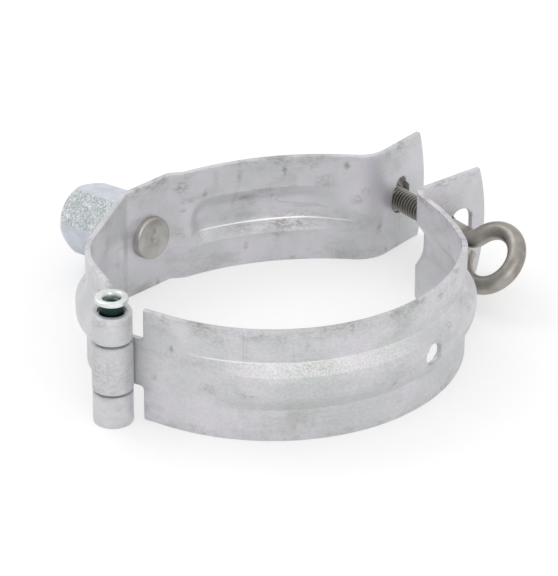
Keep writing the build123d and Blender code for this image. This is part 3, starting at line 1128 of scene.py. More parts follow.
@dataclass
class Strap:
    """Half of the clamp, made as the press shop does: a flat blank, punched, pressed and bent.

    In the flat, x runs along the strap from its notched end, y is its height and z its thickness.
    """

    node: str
    name: str
    body: Body
    line: BendLine
    tail: BendLine
    tongues: tuple[tuple[float, float], ...]
    beads: tuple[Bead, ...]
    outside: int
    slot_place: float
    hole_place: float | None = None
    slot_pinch: float = 0.0
    patches: tuple[Patch, ...] = ()
    width: float = 30 * MM
    sheet: float = 1.5 * MM
    slot_width: float = 7.4 * MM
    slot_height: float = 10.2 * MM
    hole_radius: float = 2.7 * MM
    notch_rounding: float = 1.0 * MM
    end_bulge: float = 2.2 * MM
    bulge_length: float = 7.0 * MM
    column: float = 0.75 * MM
    rim_rounding: float = 0.28 * MM
    waviness: float = 0.08 * MM
    wave_size: float = 16 * MM
    plain_rows: tuple[float, ...] = (0.0, 8.6 * MM, 11 * MM, 13.2 * MM)
    least_notch: float = 1.5 * MM

    def blank(self) -> bpy.types.Object:
        """Cut the flat blank and divide it into fine columns and rows.

        Returns:
            The plate, sheet thick.
        """
        length = self.line.length + self.tail.length
        Bench.clear()
        bpy.ops.mesh.primitive_grid_add(
            x_subdivisions=round(length / self.column),
            y_subdivisions=1,
            size=1.0,
            location=(length / 2 - self.tail.length, self.width / 2, -self.sheet / 2),
        )
        plate = bpy.context.active_object
        plate.name = plate.data.name = self.name
        plate.scale = (length, self.width, 1.0)
        bpy.ops.object.transform_apply(location=True, rotation=True, scale=True)
        offsets = [*self.beads[0].rows(), *self.plain_rows]
        heights = sorted({self.width / 2 + side * off for off in offsets for side in (-1, 1)})
        with Bench.editing(plate):
            for height in heights:
                bpy.ops.mesh.select_all(action="SELECT")
                bpy.ops.mesh.bisect(plane_co=(0, height, 0), plane_no=(0, 1, 0))
            bpy.ops.mesh.select_all(action="SELECT")
            bpy.ops.mesh.extrude_region_move(
                TRANSFORM_OT_translate={"value": (0, 0, self.sheet)}
            )
            bpy.ops.mesh.select_all(action="SELECT")
            bpy.ops.mesh.normals_make_consistent(inside=False)
        return plate

    def round_punch(
        self, place: float, radius: float, stretch: float, pinch: float
    ) -> bpy.types.Object:
        """Round or long punch that stands through the blank at middle height.

        Args:
            place: Distance along the strap.
            radius: Radius of the punch.
            stretch: How far each half is moved up or down to make a slot.
            pinch: Share of its width that its upper end loses.

        Returns:
            The punch.
        """
        Bench.clear()
        bpy.ops.mesh.primitive_cylinder_add(
            vertices=48,
            radius=radius,
            depth=4 * self.sheet,
            end_fill_type="NGON",
            location=(place, self.width / 2, 0),
            rotation=(0, 0, math.radians(3.7)),
        )
        punch = bpy.context.active_object
        bpy.ops.object.transform_apply(location=True, rotation=True, scale=True)
        half, shoulder = radius * (1 - pinch), 0.45 * radius
        for point in punch.data.vertices:
            up = point.co.y - self.width / 2
            if pinch and up > 0:
                limit = half + (radius - half) * max(0.0, 1 - up / shoulder)
                if up > shoulder:
                    share = min((up - shoulder) / (radius - shoulder), 1.0)
                    limit = half * math.sqrt(1 - share * share)
                point.co.x = place + min(max(point.co.x - place, -limit), limit)
            point.co.y += stretch if up > 0 else -stretch
        return punch

    def notch_punch(self, low: float, high: float) -> bpy.types.Object:
        """Block that cuts a notch between two heights, its inner corners rounded.

        Args:
            low: Lower side of the notch.
            high: Upper side of the notch.

        Returns:
            The block.
        """
        length = self.tail.length + 2 * MM
        Bench.clear()
        bpy.ops.mesh.primitive_cube_add(size=1.0, location=(-length / 2, (low + high) / 2, 0))
        block = bpy.context.active_object
        block.scale = (length, high - low, 4 * self.sheet)
        bpy.ops.object.transform_apply(location=True, rotation=True, scale=True)

        def inner_corner(edge: bmesh.types.BMEdge) -> bool:
            """Whether an edge is one of the block's upright corners at the strap's end.

            Args:
                edge: Edge of the block.

            Returns:
                True where it is.
            """
            middle = (edge.verts[0].co + edge.verts[1].co) / 2
            upright = abs(edge.verts[0].co.z - edge.verts[1].co.z) > self.sheet
            return upright and abs(middle.x) < 1e-6 and 0 < middle.y < self.width

        with Bench.editing(block):
            Bench.select_edges(block, inner_corner)
            bpy.ops.mesh.bevel(offset=self.notch_rounding, segments=4, affect="EDGES")
        return block

    def punch(self, plate: bpy.types.Object) -> None:
        """Punch the slot, the relief hole and the notches out of the blank.

        Args:
            plate: Flat blank.
        """
        stretch = (self.slot_height - self.slot_width) / 2
        tools = [self.round_punch(self.slot_place, self.slot_width / 2, stretch, self.slot_pinch)]
        if self.hole_place is not None:
            tools.append(self.round_punch(self.hole_place, self.hole_radius, 0.0, 0.0))
        edges = [-1 * MM, *(height for tongue in self.tongues for height in tongue)]
        edges.append(self.width + 1 * MM)
        for low, high in zip(edges[::2], edges[1::2]):
            if high - low > self.least_notch:
                tools.append(self.notch_punch(low, high))
        for tool in tools:
            cut = plate.modifiers.new("punch", "BOOLEAN")
            cut.operation = "DIFFERENCE"
            cut.solver = "EXACT"
            cut.object = tool
            Bench.apply(plate, cut)
            bpy.data.objects.remove(tool)

    def round_rims(self, plate: bpy.types.Object) -> None:
        """Round the sheared rims of the blank.

        Args:
            plate: Punched blank.
        """

        def sheared(edge: bmesh.types.BMEdge) -> bool:
            """Whether an edge is a sharp one that lies flat.

            Args:
                edge: Edge of the blank.

            Returns:
                True where it is.
            """
            level = abs(edge.verts[0].co.z - edge.verts[1].co.z) < 1e-5
            return level and len(edge.link_faces) == 2 and edge.calc_face_angle(0.0) > 1.3

        with Bench.editing(plate):
            bpy.ops.mesh.select_all(action="SELECT")
            bpy.ops.mesh.remove_doubles(threshold=0.1 * MM)
            Bench.select_edges(plate, sheared)
            bpy.ops.mesh.bevel(
                offset=self.rim_rounding, segments=2, affect="EDGES", clamp_overlap=False
            )

    def slope_sheen(self, place: Vector) -> float:
        """How strongly a bead's slope that faces the light carries the painted highlight, in the flat blank, from
        0 to 1.

        Args:
            place: Place in the flat blank.

        Returns:
            The strength of the painted highlight.
        """
        off = place.y - self.width / 2
        for bead in self.beads:
            inside = place.z * self.outside < 0
            sloped = off * bead.bright_row > 0 and bead.shoulder <= abs(off) <= bead.foot
            if sloped and inside == bead.bright_inside:
                along = min(place.x - bead.sheen_start, bead.sheen_end - place.x)
                return Bead.ease(along, bead.sheen_fade)
        return 0.0

    def crease_glint(self, place: Vector) -> float:
        """How strongly the painted highlight lies along a bead's crease, at a place of the flat blank, from 0 to
        1.

        Args:
            place: Place in the flat blank.

        Returns:
            The brightness.
        """
        off = place.y - self.width / 2
        for bead in self.beads:
            inside = place.z * self.outside < 0
            if bead.bright_row and inside == bead.bright_inside:
                along = min(place.x - bead.start, bead.end - place.x)
                if abs(off - bead.bright_row) < 0.05 * MM and along > 0:
                    fading = bead.bright_loss * Bead.ease(
                        place.x - bead.bright_end, bead.bright_fade
                    )
                    return Bead.ease(along, bead.bright_start) * (1 - fading)
        return 0.0

    def stain(self, place: Vector) -> float:
        """How strongly a place of the flat blank is stained, from 0 to 1.

        Args:
            place: Place in the flat blank.

        Returns:
            The strength of the deepest stain.
        """
        along, height = place.x / MM, place.y / MM
        return max((patch.strength(along, height) for patch in self.patches), default=0.0)

    def form(self, plate: bpy.types.Object) -> None:
        """Press the beads and bend the blank along its line.

        Args:
            plate: Blank with its rims rounded.
        """
        middle = self.width / 2
        bulge = (middle**2 + self.end_bulge**2) / (2 * self.end_bulge)
        # The first two marks are painted highlights on the beads: a sheen on a slope and a glint along the crease.
        for name, rule in (("slope_sheen", self.slope_sheen), ("crease_glint", self.crease_glint), ("stain", self.stain)):
            Bench.mark(plate, name, rule)
        for point in plate.data.vertices:
            along, height, depth = point.co
            off = height - middle
            drop = bulge - math.sqrt(bulge**2 - off**2)
            near_end = max(0.0, 1 - (self.line.length - along) / self.bulge_length)
            along -= drop * near_end
            pressed = max(bead.height(along, off) for bead in self.beads)
            wave = (noise.noise(Vector((along, height, 0.0)) / self.wave_size) - 1) * self.waviness
            wave *= min(1.0, max(0.0, along / self.wave_size))
            across = depth + self.outside * (pressed + wave)
            if along >= 0:
                x, y, heading = self.line.at(along)
            else:
                x, y, heading = self.tail.at(-along)
                heading += 180
            turn = math.radians(heading)
            point.co = (x + across * math.sin(turn), y - across * math.cos(turn), height)

    def build(self, material: bpy.types.Material) -> bpy.types.Object:
        """Make the strap from its blank and dress it.

        Args:
            material: Finish of the sheet.

        Returns:
            The finished piece.
        """
        plate = self.blank()
        self.punch(plate)
        self.round_rims(plate)
        self.form(plate)
        Bench.smooth(plate, 30.0)
        plate.data.materials.append(material)
        Bench.hand_over(plate, self.body, Slot.SHEET, (self.node,))
        return plate


@dataclass
class Half:
    """Sizes that both halves share, in millimetres and degrees, about the frame's hinge."""

    pin_radius: float = 3.45
    sheet: float = 1.5
    tongue: float = 6.4
    wrap: float = 309.0
    lower_split: float = 8.5
    upper_split: float = 22.5
    ear_bend: float = 3.6

    @staticmethod
    def hinge() -> Vector:
        """Hinge axis in plan, in millimetres."""
        return Vector(joint("front_half_hinge")["pos_m"]) / MM

    def curl(self, root: BendLine, roll: float, way: int) -> BendLine:
        """Line of a tongue and its knuckle, back from a strap's notched end.

        Args:
            root: Line that begins at the notched end.
            roll: Middle radius of the knuckle.
            way: 1 where it curls left, -1 where it curls right.

        Returns:
            The line, in metres.
        """
        tail = BendLine(root.x, root.y, root.heading + 180)
        tail.run(self.tongue * MM)
        return tail.go(roll * MM * math.radians(self.wrap), way * self.wrap)


@dataclass
class FrontHalf(Half):
    """Front half: middle knuckle, one long bead with a relief hole, and the eye's ear."""

    ring: float = 47.95
    pin_clearance: float = 0.1
    gap: float = 0.6
    round_end: float = 83.6
    tight_radius: float = 16.0
    tight_end: float = 101.6
    ease_radius: float = 65.0
    ease_end: float = 119.6
    run_to_ear: float = 4.4
    ear_heading: float = 38.3
    ear_length: float = 19.9
    slot_inset: float = 8.1
    hole_angle: float = -39.3
    bead_start: float = 12.5
    bead_into_ear: float = 6.5
    bead_run_in: float = 20.0
    bead_run_out: float = 4.0
    # Row and fading of the painted highlight along the bead's crease.
    bright_row: float = 6.45
    bright_end: float = 22.0
    # Start, end and fade of the painted highlight on the bead's upper slope, in millimetres.
    slope_sheen: tuple[float, float, float] = (17.0, 74.0, 12.0)

    @staticmethod
    def stains() -> tuple[Patch, ...]:
        """Stains of the sheet: place along and up it, half sizes and depth."""
        return (
            Patch(48.0, 17.0, 75.0, 34.0, 0.24),
            Patch(-17.0, 15.0, 11.0, 8.0, 0.55),
            Patch(15.5, 28.8, 3.2, 1.6),
            Patch(19.5, 26.5, 3.5, 2.6, 0.5),
            Patch(35.0, 27.6, 4.0, 2.0, 0.7),
            Patch(40.8, 26.6, 1.0, 1.0),
            Patch(27.0, 29.0, 5.0, 1.4, 0.5),
            Patch(49.5, 29.4, 12.0, 1.7, 0.8),
            Patch(66.0, 29.2, 9.0, 1.6, 0.6),
            Patch(80.0, 28.0, 1.6, 1.4),
            Patch(17.5, 13.0, 3.0, 2.0, 0.8),
            Patch(26.2, 13.4, 4.0, 1.3, 0.7),
            Patch(36.2, 10.0, 1.2, 0.9, 0.9),
            Patch(13.8, 2.2, 1.2, 0.7),
            Patch(17.5, 3.0, 1.8, 0.7),
            Patch(23.0, 3.4, 1.8, 0.7, 0.9),
            Patch(44.0, 5.2, 8.0, 1.0, 0.4),
            Patch(7.8, 21.5, 0.8, 1.5),
            Patch(3.2, 12.5, 0.8, 1.1),
            Patch(82.0, 19.2, 1.4, 0.9, 0.8),
        )

    def strap(self) -> Strap:
        """Lay out the strap.

        Returns:
            The strap, ready to build.
        """
        hinge = self.hinge()
        roll = self.pin_radius + self.pin_clearance + self.sheet / 2
        reach = math.hypot(hinge.x, hinge.y)
        turn = math.degrees(math.acos((self.ring + roll) / reach))
        run = math.sqrt(reach**2 - (self.ring + roll) ** 2) - self.tongue
        angle = math.degrees(math.atan2(hinge.y, hinge.x)) + turn
        around, ahead = math.radians(angle), math.radians(angle + 90)
        x = self.ring * math.cos(around) - run * math.cos(ahead)
        y = self.ring * math.sin(around) - run * math.sin(ahead)
        line = BendLine(x * MM, y * MM, angle + 90)
        tail = self.curl(line, roll, 1)
        line.run(run * MM).bend_to(self.ring * MM, self.round_end)
        line.bend_to(self.tight_radius * MM, self.tight_end)
        line.bend_to(self.ease_radius * MM, self.ease_end).run(self.run_to_ear * MM)
        ear = line.length
        line.bend_to(self.ear_bend * MM, self.ear_heading).run(self.ear_length * MM)
        hole = (run + self.ring * math.radians(self.hole_angle - angle)) * MM
        sheen_start, sheen_end, sheen_fade = self.slope_sheen
        bead = Bead(
            self.bead_start * MM,
            ear + self.bead_into_ear * MM,
            long_in=self.bead_run_in * MM,
            long_out=self.bead_run_out * MM,
            bright_row=self.bright_row * MM,
            bright_end=self.bright_end * MM,
            sheen_start=sheen_start * MM,
            sheen_end=sheen_end * MM,
            sheen_fade=sheen_fade * MM,
        )
        knuckle = ((self.lower_split + self.gap) * MM, (self.upper_split - self.gap) * MM)
        return Strap(
            node="front_band",
            name="front_strap",
            body=Body.FRONT_HALF,
            line=line,
            tail=tail,
            tongues=(knuckle,),
            beads=(bead,),
            outside=1,
            slot_place=line.length - self.slot_inset * MM,
            hole_place=hole,
            patches=self.stains(),
        )


@dataclass
class RearHalf(Half):
    """Rear half: outer knuckles, a bead on its wall and one on its back, and the nut's ear."""

    heading: float = 113.9
    hinge_run: float = 16.3
    wall_radius: float = 22.7
    wall_heading: float = 73.6
    wall_run: float = 23.2
    fold: float = 2.2
    seat_heading: float = 45.6
    seat_length: float = 14.3
    jog_heading: float = 9.0
    jog_length: float = 2.8
    arc_heading: float = 32.9
    arc_radius: float = 66.6
    run_heading: float = -6.2
    run_to_ear: float = 3.0
    soft_ear_bend: float = 9.0
    ear_heading: float = 51.0
    ear_length: float = 19.0
    slot_inset: float = 10.0
    slot_pinch: float = 0.45
    past_rims: float = 1.0
    wall_bead_margin: float = 3.0
    wall_bead_round: float = 6.5
    back_bead_start: float = 1.0
    back_bead_into_ear: float = 1.5
    back_bead_round: float = 5.0
    back_bead_run_out: float = 16.0
    # Row of the painted highlight along the back bead's crease.
    bright_row: float = -3.5
    # Length and fade of the painted highlight at the back bead's start, in millimetres.
    slope_sheen: tuple[float, float] = (9.0, 3.0)

    @staticmethod
    def stains() -> tuple[Patch, ...]:
        """Stains of the sheet, and two long patches that darken the back bead's lower slope: place along and up
        it, half sizes and depth.
        """
        return (
            Patch(74.8, 26.0, 2.2, 2.2),
            Patch(76.5, 22.2, 2.6, 0.9),
            Patch(75.0, 19.6, 1.0, 0.7, 0.9),
            Patch(84.5, 27.0, 0.9, 1.6, 0.8),
            Patch(91.0, 25.5, 0.8, 2.4, 0.8),
            Patch(90.2, 19.0, 0.7, 3.6, 0.6),
            Patch(93.4, 18.6, 2.6, 1.1),
            Patch(97.5, 20.8, 3.2, 1.1, 0.9),
            Patch(105.5, 22.6, 1.6, 1.2, 0.9),
            Patch(114.0, 22.6, 3.4, 1.8, 0.8),
            Patch(110.0, 29.0, 3.2, 2.4, 0.6),
            Patch(101.5, 9.0, 0.9, 3.4, 0.8),
            # These two long patches darken the back bead's lower slope, under its crease.
            Patch(105.0, 10.6, 9.0, 2.4),
            Patch(92.0, 10.2, 6.0, 1.8, 0.6),
            Patch(86.8, 3.0, 5.0, 1.4, 0.4),
            Patch(122.2, 17.6, 2.0, 1.4, 0.8),
            Patch(124.2, 19.8, 1.4, 1.2, 0.7),
            Patch(128.0, 8.6, 0.9, 1.6),
            Patch(130.5, 29.0, 1.4, 1.2, 0.8),
        )

    def strap(self) -> Strap:
        """Lay out the strap.

        Returns:
            The strap, ready to build.
        """
        hinge = self.hinge()
        roll = self.pin_radius + self.sheet / 2
        ahead = math.radians(self.heading)
        x = hinge.x + roll * math.sin(ahead) + self.tongue * math.cos(ahead)
        y = hinge.y - roll * math.cos(ahead) + self.tongue * math.sin(ahead)
        line = BendLine(x * MM, y * MM, self.heading)
        tail = self.curl(line, roll, -1)
        line.run(self.hinge_run * MM).bend_to(self.wall_radius * MM, self.wall_heading)
        line.run(self.wall_run * MM)
        wall = Bead(
            self.wall_bead_margin * MM,
            line.length - self.wall_bead_margin * MM,
            round_in=self.wall_bead_round * MM,
            round_out=self.wall_bead_round * MM,
        )
        line.bend_to(self.fold * MM, self.seat_heading).run(self.seat_length * MM)
        line.bend_to(self.fold * MM, self.jog_heading).run(self.jog_length * MM)
        line.bend_to(self.fold * MM, self.arc_heading)
        back = line.length
        line.bend_to(self.arc_radius * MM, self.run_heading)
        half_turn = math.radians((self.ear_heading - self.run_heading) / 2)
        softened = (self.soft_ear_bend - self.ear_bend) * math.tan(half_turn)
        line.run((self.run_to_ear - softened) * MM)
        sheen_length, sheen_fade = self.slope_sheen
        bead = Bead(
            back + self.back_bead_start * MM,
            line.length + self.back_bead_into_ear * MM,
            round_in=self.back_bead_round * MM,
            long_out=self.back_bead_run_out * MM,
            bright_row=self.bright_row * MM,
            bright_inside=True,
            sheen_start=back,
            sheen_end=back + sheen_length * MM,
            sheen_fade=sheen_fade * MM,
        )
        line.bend_to(self.soft_ear_bend * MM, self.ear_heading)
        line.run((self.ear_length - softened) * MM)
        knuckles = (
            (-self.past_rims * MM, self.lower_split * MM),
            (self.upper_split * MM, Strap.width + self.past_rims * MM),
        )
        return Strap(
            node="rear_band",
            name="rear_strap",
            body=Body.REAR_HALF,
            line=line,
            tail=tail,
            tongues=knuckles,
            beads=(wall, bead),
            outside=-1,
            slot_place=line.length - self.slot_inset * MM,
            slot_pinch=self.slot_pinch,
            patches=self.stains(),
        )


@dataclass
class HingePin:
    """Pin through the knuckles, its upper end flared into a hollow lip."""

    shank_radius: float = 3.45 * MM
    neck_radius: float = 3.0 * MM
    neck_drop: float = 0.6 * MM
    lip_height: float = 1.8 * MM
    hollow_radius: float = 2.2 * MM
    hollow_depth: float = 1.8 * MM
    rounding: float = 0.3 * MM

    def build(self, material: bpy.types.Material) -> bpy.types.Object:
        """Turn the pin and dress it.

        Args:
            material: Finish of the pin.

        Returns:
            The finished piece.
        """
        low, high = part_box("hinge_pin")
        _, strap_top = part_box("rear_band")
        hinge = Vector(joint("front_half_hinge")["pos_m"])
        turning = Turning(Vector((hinge.x, hinge.y, 0)), Vector((0, 0, 1)))
        radius, lip = self.shank_radius, (high.x - low.x) / 2
        top = high.z
        sunk = strap_top.z - self.neck_drop
        edge, hollow = self.rounding, self.hollow_radius
        under = top - self.lip_height
        pin = turning.start("hinge_pin_turned", radius, low.z + edge, sunk)
        turning.draw_out(pin, False, ((radius - edge, low.z),))
        turning.draw_out(
            pin,
            True,
            (
                (self.neck_radius, sunk + 0.05 * MM),
                (self.neck_radius, under),
                (lip - edge, under + 0.4 * MM),
                (lip, under + 0.4 * MM + edge),
                (lip, top - 2 * edge),
                (lip - 0.4 * edge, top - 0.8 * edge),
                (lip - 1.6 * edge, top - 0.1 * edge),
                (lip - 3 * edge, top),
                (hollow + 1.4 * edge, top - 0.4 * edge),
                (hollow + 0.3 * edge, top - 1.4 * edge),
                (hollow, top - 3 * edge),
                (hollow * 0.92, top - self.hollow_depth + edge),
                (hollow * 0.6, top - self.hollow_depth),
            ),
        )
        inner, outer = hollow * 0.97, self.neck_radius * 1.03

        def shaded(place: Vector) -> float:
            """Painted shade of a place: the neck under the lip and the floor of the hollow.

            Args:
                place: Place on the pin.

            Returns:
                The darkness, from 0 to 1.
            """
            far = math.hypot(place.x - hinge.x, place.y - hinge.y)
            if sunk - 0.2 * MM < place.z < under + 0.1 * MM and far < outer:
                return 1.0
            return 0.75 if place.z > sunk and far < inner else 0.0

        # Painted shade under the lip and in the hollow.
        Bench.mark(pin, "hollow", shaded)
        Bench.smooth(pin, 40.0)
        pin.data.materials.append(material)
        Bench.hand_over(pin, Body.REAR_HALF, Slot.PIN, ("hinge_pin",))
        return pin


@dataclass
class Boss:
    """Hexagonal boss with a threaded bore, one facet rough from the spanner's jaws."""

    edge_rounding: float = 0.3 * MM
    pitch: float = 1.5 * MM
    thread_depth: float = 0.75 * MM
    clearance: float = 0.05 * MM
    mouth_flare: float = 1.0 * MM
    least_facet: float = 10 * MM**2
    front: Vector = Vector((0, -1, 0.5))
    end_rings: tuple[tuple[float, float], ...] = (
        (10.2, 3.6), (9.85, 2.6), (9.5, 1.7), (9.0, 0.85), (8.5, 0.3), (8.0, 0.0)
    )

    def round_end(self, boss: bpy.types.Object) -> None:
        """Turn the free end down, so that each facet ends in an arc.

        Args:
            boss: Merged copy of the boss.
        """
        axis = Vector(mount("boss_thread")["axis"]).normalized()
        origin = Vector(mount("boss_thread")["pos_m"])
        heights = [(point.co - origin).dot(axis) for point in boss.data.vertices]
        low, top = min(heights), max(heights)
        rings = tuple((radius * MM, top - down * MM) for radius, down in self.end_rings)
        turning = Turning(origin, axis, 96)
        blank = turning.start("boss_round", rings[0][0], low - 1 * MM, rings[0][1])
        turning.draw_out(blank, True, (*rings[1:-1], (rings[-1][0], top + 0.01 * MM)))
        cut = boss.modifiers.new("end", "BOOLEAN")
        cut.operation = "INTERSECT"
        cut.solver = "EXACT"
        cut.object = blank
        Bench.apply(boss, cut)
        bpy.data.objects.remove(blank)

    def cut_thread(self, boss: bpy.types.Object) -> None:
        """Cut the thread into the bore.

        Args:
            boss: Merged copy of the boss.
        """
        hole = mount("boss_thread")
        axis = Vector(hole["axis"]).normalized()
        depth, bore = hole["dims"]["length_mm"] * MM, hole["dims"]["r_mm"] * MM
        foot = Vector(hole["pos_m"]) - axis * (depth / 2 - self.pitch)
        length = depth - self.pitch / 2
        crest = bore + self.thread_depth
        tap = Thread(crest, bore + self.clearance, self.pitch, length, 40)
        tool = tap.build("tap")
        mouth = length - self.pitch / 2

        def flared(radius: float, height: float) -> float:
            """Radius with the foot run in and the mouth opened out.

            Args:
                radius: Radius of a point of the tool.
                height: Its height over the foot.

            Returns:
                The new radius.
            """
            radius = min(radius, bore + self.clearance + height)
            if height > mouth - self.mouth_flare:
                radius = max(radius, crest + self.clearance - (mouth - height))
            return radius

        tap.shape_ends(tool, flared)
        Thread.stand(tool, foot, axis)
        cut = boss.modifiers.new("thread", "BOOLEAN")
        cut.operation = "DIFFERENCE"
        cut.solver = "EXACT"
        cut.object = tool
        Bench.apply(boss, cut)
        bpy.data.objects.remove(tool)

    def build(self, smooth: bpy.types.Material, rough: bpy.types.Material) -> bpy.types.Object:
        """Round the boss's edges, cut its thread and dress it.

        Args:
            smooth: Finish of most facets.
            rough: Finish of the worked facet.

        Returns:
            The finished piece.
        """
        boss = Bench.merged_copy("threaded_boss", "threaded_boss_turned")
        Bench.soften(boss, self.edge_rounding, 50.0, 3)
        self.round_end(boss)
        self.cut_thread(boss)
        Bench.smooth(boss, 32.0)
        boss.data.materials.append(smooth)
        boss.data.materials.append(rough)
        axis = Vector(mount("boss_thread")["axis"]).normalized()
        sides = [
            face
            for face in boss.data.polygons
            if abs(face.normal.dot(axis)) < 0.1 and face.area > self.least_facet
        ]
        worked = max(sides, key=lambda face: face.normal.dot(self.front)).normal.copy()
        for face in sides:
            face.material_index = int(face.normal.dot(worked) > 0.95)
        Bench.hand_over(boss, Body.REAR_HALF, Slot.PLATE, ("threaded_boss",))
        return boss


@dataclass
class Rivet:
    """Rivet that holds the boss: a low round head with a dimple, and its shank."""

    shank_radius: float = 3.5 * MM
    edge_rounding: float = 0.8 * MM
    dimple_radius: float = 1.1 * MM
    dimple_depth: float = 0.4 * MM
    head_depth: float = 3.2 * MM

    def build(self, material: bpy.types.Material) -> bpy.types.Object:
        """Turn the rivet and dress it.

        Args:
            material: Finish of the rivet.

        Returns:
            The finished piece.
        """
        axis = -Vector(mount("boss_thread")["axis"]).normalized()
        origin = Vector(mount("boss_thread")["pos_m"])
        points = [item.co - origin for item in frame["nodes"]["boss_rivet"].data.vertices]
        heights = [point.dot(axis) for point in points]
        radius = max((point - axis * point.dot(axis)).length for point in points)
        low, top = min(heights), max(heights)
        shoulder = top - self.head_depth
        turning = Turning(origin, axis, 64)
        round_edge = self.edge_rounding
        rivet = turning.start("boss_rivet_turned", radius, shoulder, top - round_edge)
        rings = [
            (
                radius - round_edge * (1 - math.cos(math.radians(angle))),
                top - round_edge * (1 - math.sin(math.radians(angle))),
            )
            for angle in (22, 45, 68, 88)
        ]
        rings += [
            (radius * 0.55, top),
            (self.dimple_radius * 1.25, top),
            (self.dimple_radius, top - 0.1 * MM),
            (self.dimple_radius * 0.55, top - self.dimple_depth * 0.85),
            (self.dimple_radius * 0.2, top - self.dimple_depth),
        ]
        turning.draw_out(rivet, True, tuple(rings))
        turning.draw_out(
            rivet, False, ((self.shank_radius, shoulder - 0.05 * MM), (self.shank_radius, low))
        )
        Bench.smooth(rivet, 40.0)
        rivet.data.materials.append(material)
        Bench.hand_over(rivet, Body.REAR_HALF, Slot.NICKEL, ("boss_rivet",))
        return rivet


@dataclass
class EyeBolt:
    """Bolt with a rolled thread and its wire end bent round into an eye."""

    pitch: float = 1.0 * MM
    thread_depth: float = 0.6 * MM
    point_chamfer: float = 0.9 * MM
    end_rounding: float = 0.35 * MM
    run_out_slope: float = 0.6
    neck_depth: float = 0.3 * MM
    shortest_thread: float = 5 * MM

    def build(self, material: bpy.types.Material) -> bpy.types.Object:
        """Cut the plain shank away, put a threaded one in its place and dress the bolt.

        Args:
            material: Finish of the bolt.

        Returns:
            The finished piece.
        """
        turn = joint("nut_turn")
        axis, origin = Vector(turn["axis"]).normalized(), Vector(turn["pos_m"])
        wire = Bench.merged_copy("eye_bolt", "eye_bolt_threaded")

        def reach(point: Vector) -> tuple[float, float]:
            """Height along the bolt and distance from its axis.

            Args:
                point: Place on the bolt.

            Returns:
                The height and the distance, in metres.
            """
            height = (point - origin).dot(axis)
            return height, (point - origin - axis * height).length

        places = [reach(point.co) for point in wire.data.vertices]
        low = min(height for height, _ in places)
        crest = max(radius for height, radius in places if height < low + 0.1 * MM)
        high = min(
            height
            for height, radius in places
            if radius < crest - self.neck_depth and height > low + self.shortest_thread
        )
        with Bench.editing(wire):
            Bench.select_faces(
                wire,
                lambda face: all(reach(point.co)[0] < high + 0.01 * MM for point in face.verts),
            )
            bpy.ops.mesh.delete(type="FACE")
            bpy.ops.mesh.select_all(action="DESELECT")
            Bench.select_edges(wire, lambda edge: edge.is_boundary)
            bpy.ops.mesh.fill()
        Bench.soften(wire, self.end_rounding, 60.0, 3)
        root = crest - self.thread_depth
        thread = Thread(crest, root, self.pitch, high - low)
        rod = thread.build("thread")
        length = high - low
        thread.shape_ends(
            rod,
            lambda radius, height: min(
                radius,
                crest - self.point_chamfer + height,
                root + 0.1 * MM + (length - height) * self.run_out_slope,
            ),
        )
        depth = self.thread_depth
        # Painted shade in the thread roots, darkest at the root.
        Bench.mark(rod, "hollow", lambda place: (crest - place.xy.length) / depth)
        Thread.stand(rod, origin + axis * low, axis)
        Bench.pick(wire)
        rod.select_set(True)
        bpy.ops.object.join()
        Bench.smooth(wire, 38.0)
        wire.data.materials.append(material)
        Bench.hand_over(wire, Body.BOLT, Slot.WIRE, ("eye_bolt",))
        return wire


@dataclass
class Nut:
    """Hex nut on the bolt's tail."""

    edge_rounding: float = 0.18 * MM

    def build(self, material: bpy.types.Material) -> bpy.types.Object:
        """Round the nut's edges and dress it.

        Args:
            material: Finish of the nut.

        Returns:
            The finished piece.
        """
        nut = Bench.merged_copy("clamp_nut", "clamp_nut_dressed")
        Bench.soften(nut, self.edge_rounding, 28.0, 2)
        Bench.smooth(nut, 32.0)
        nut.data.materials.append(material)
        Bench.hand_over(nut, Body.NUT, Slot.PLATE, ("clamp_nut",))
        return nut


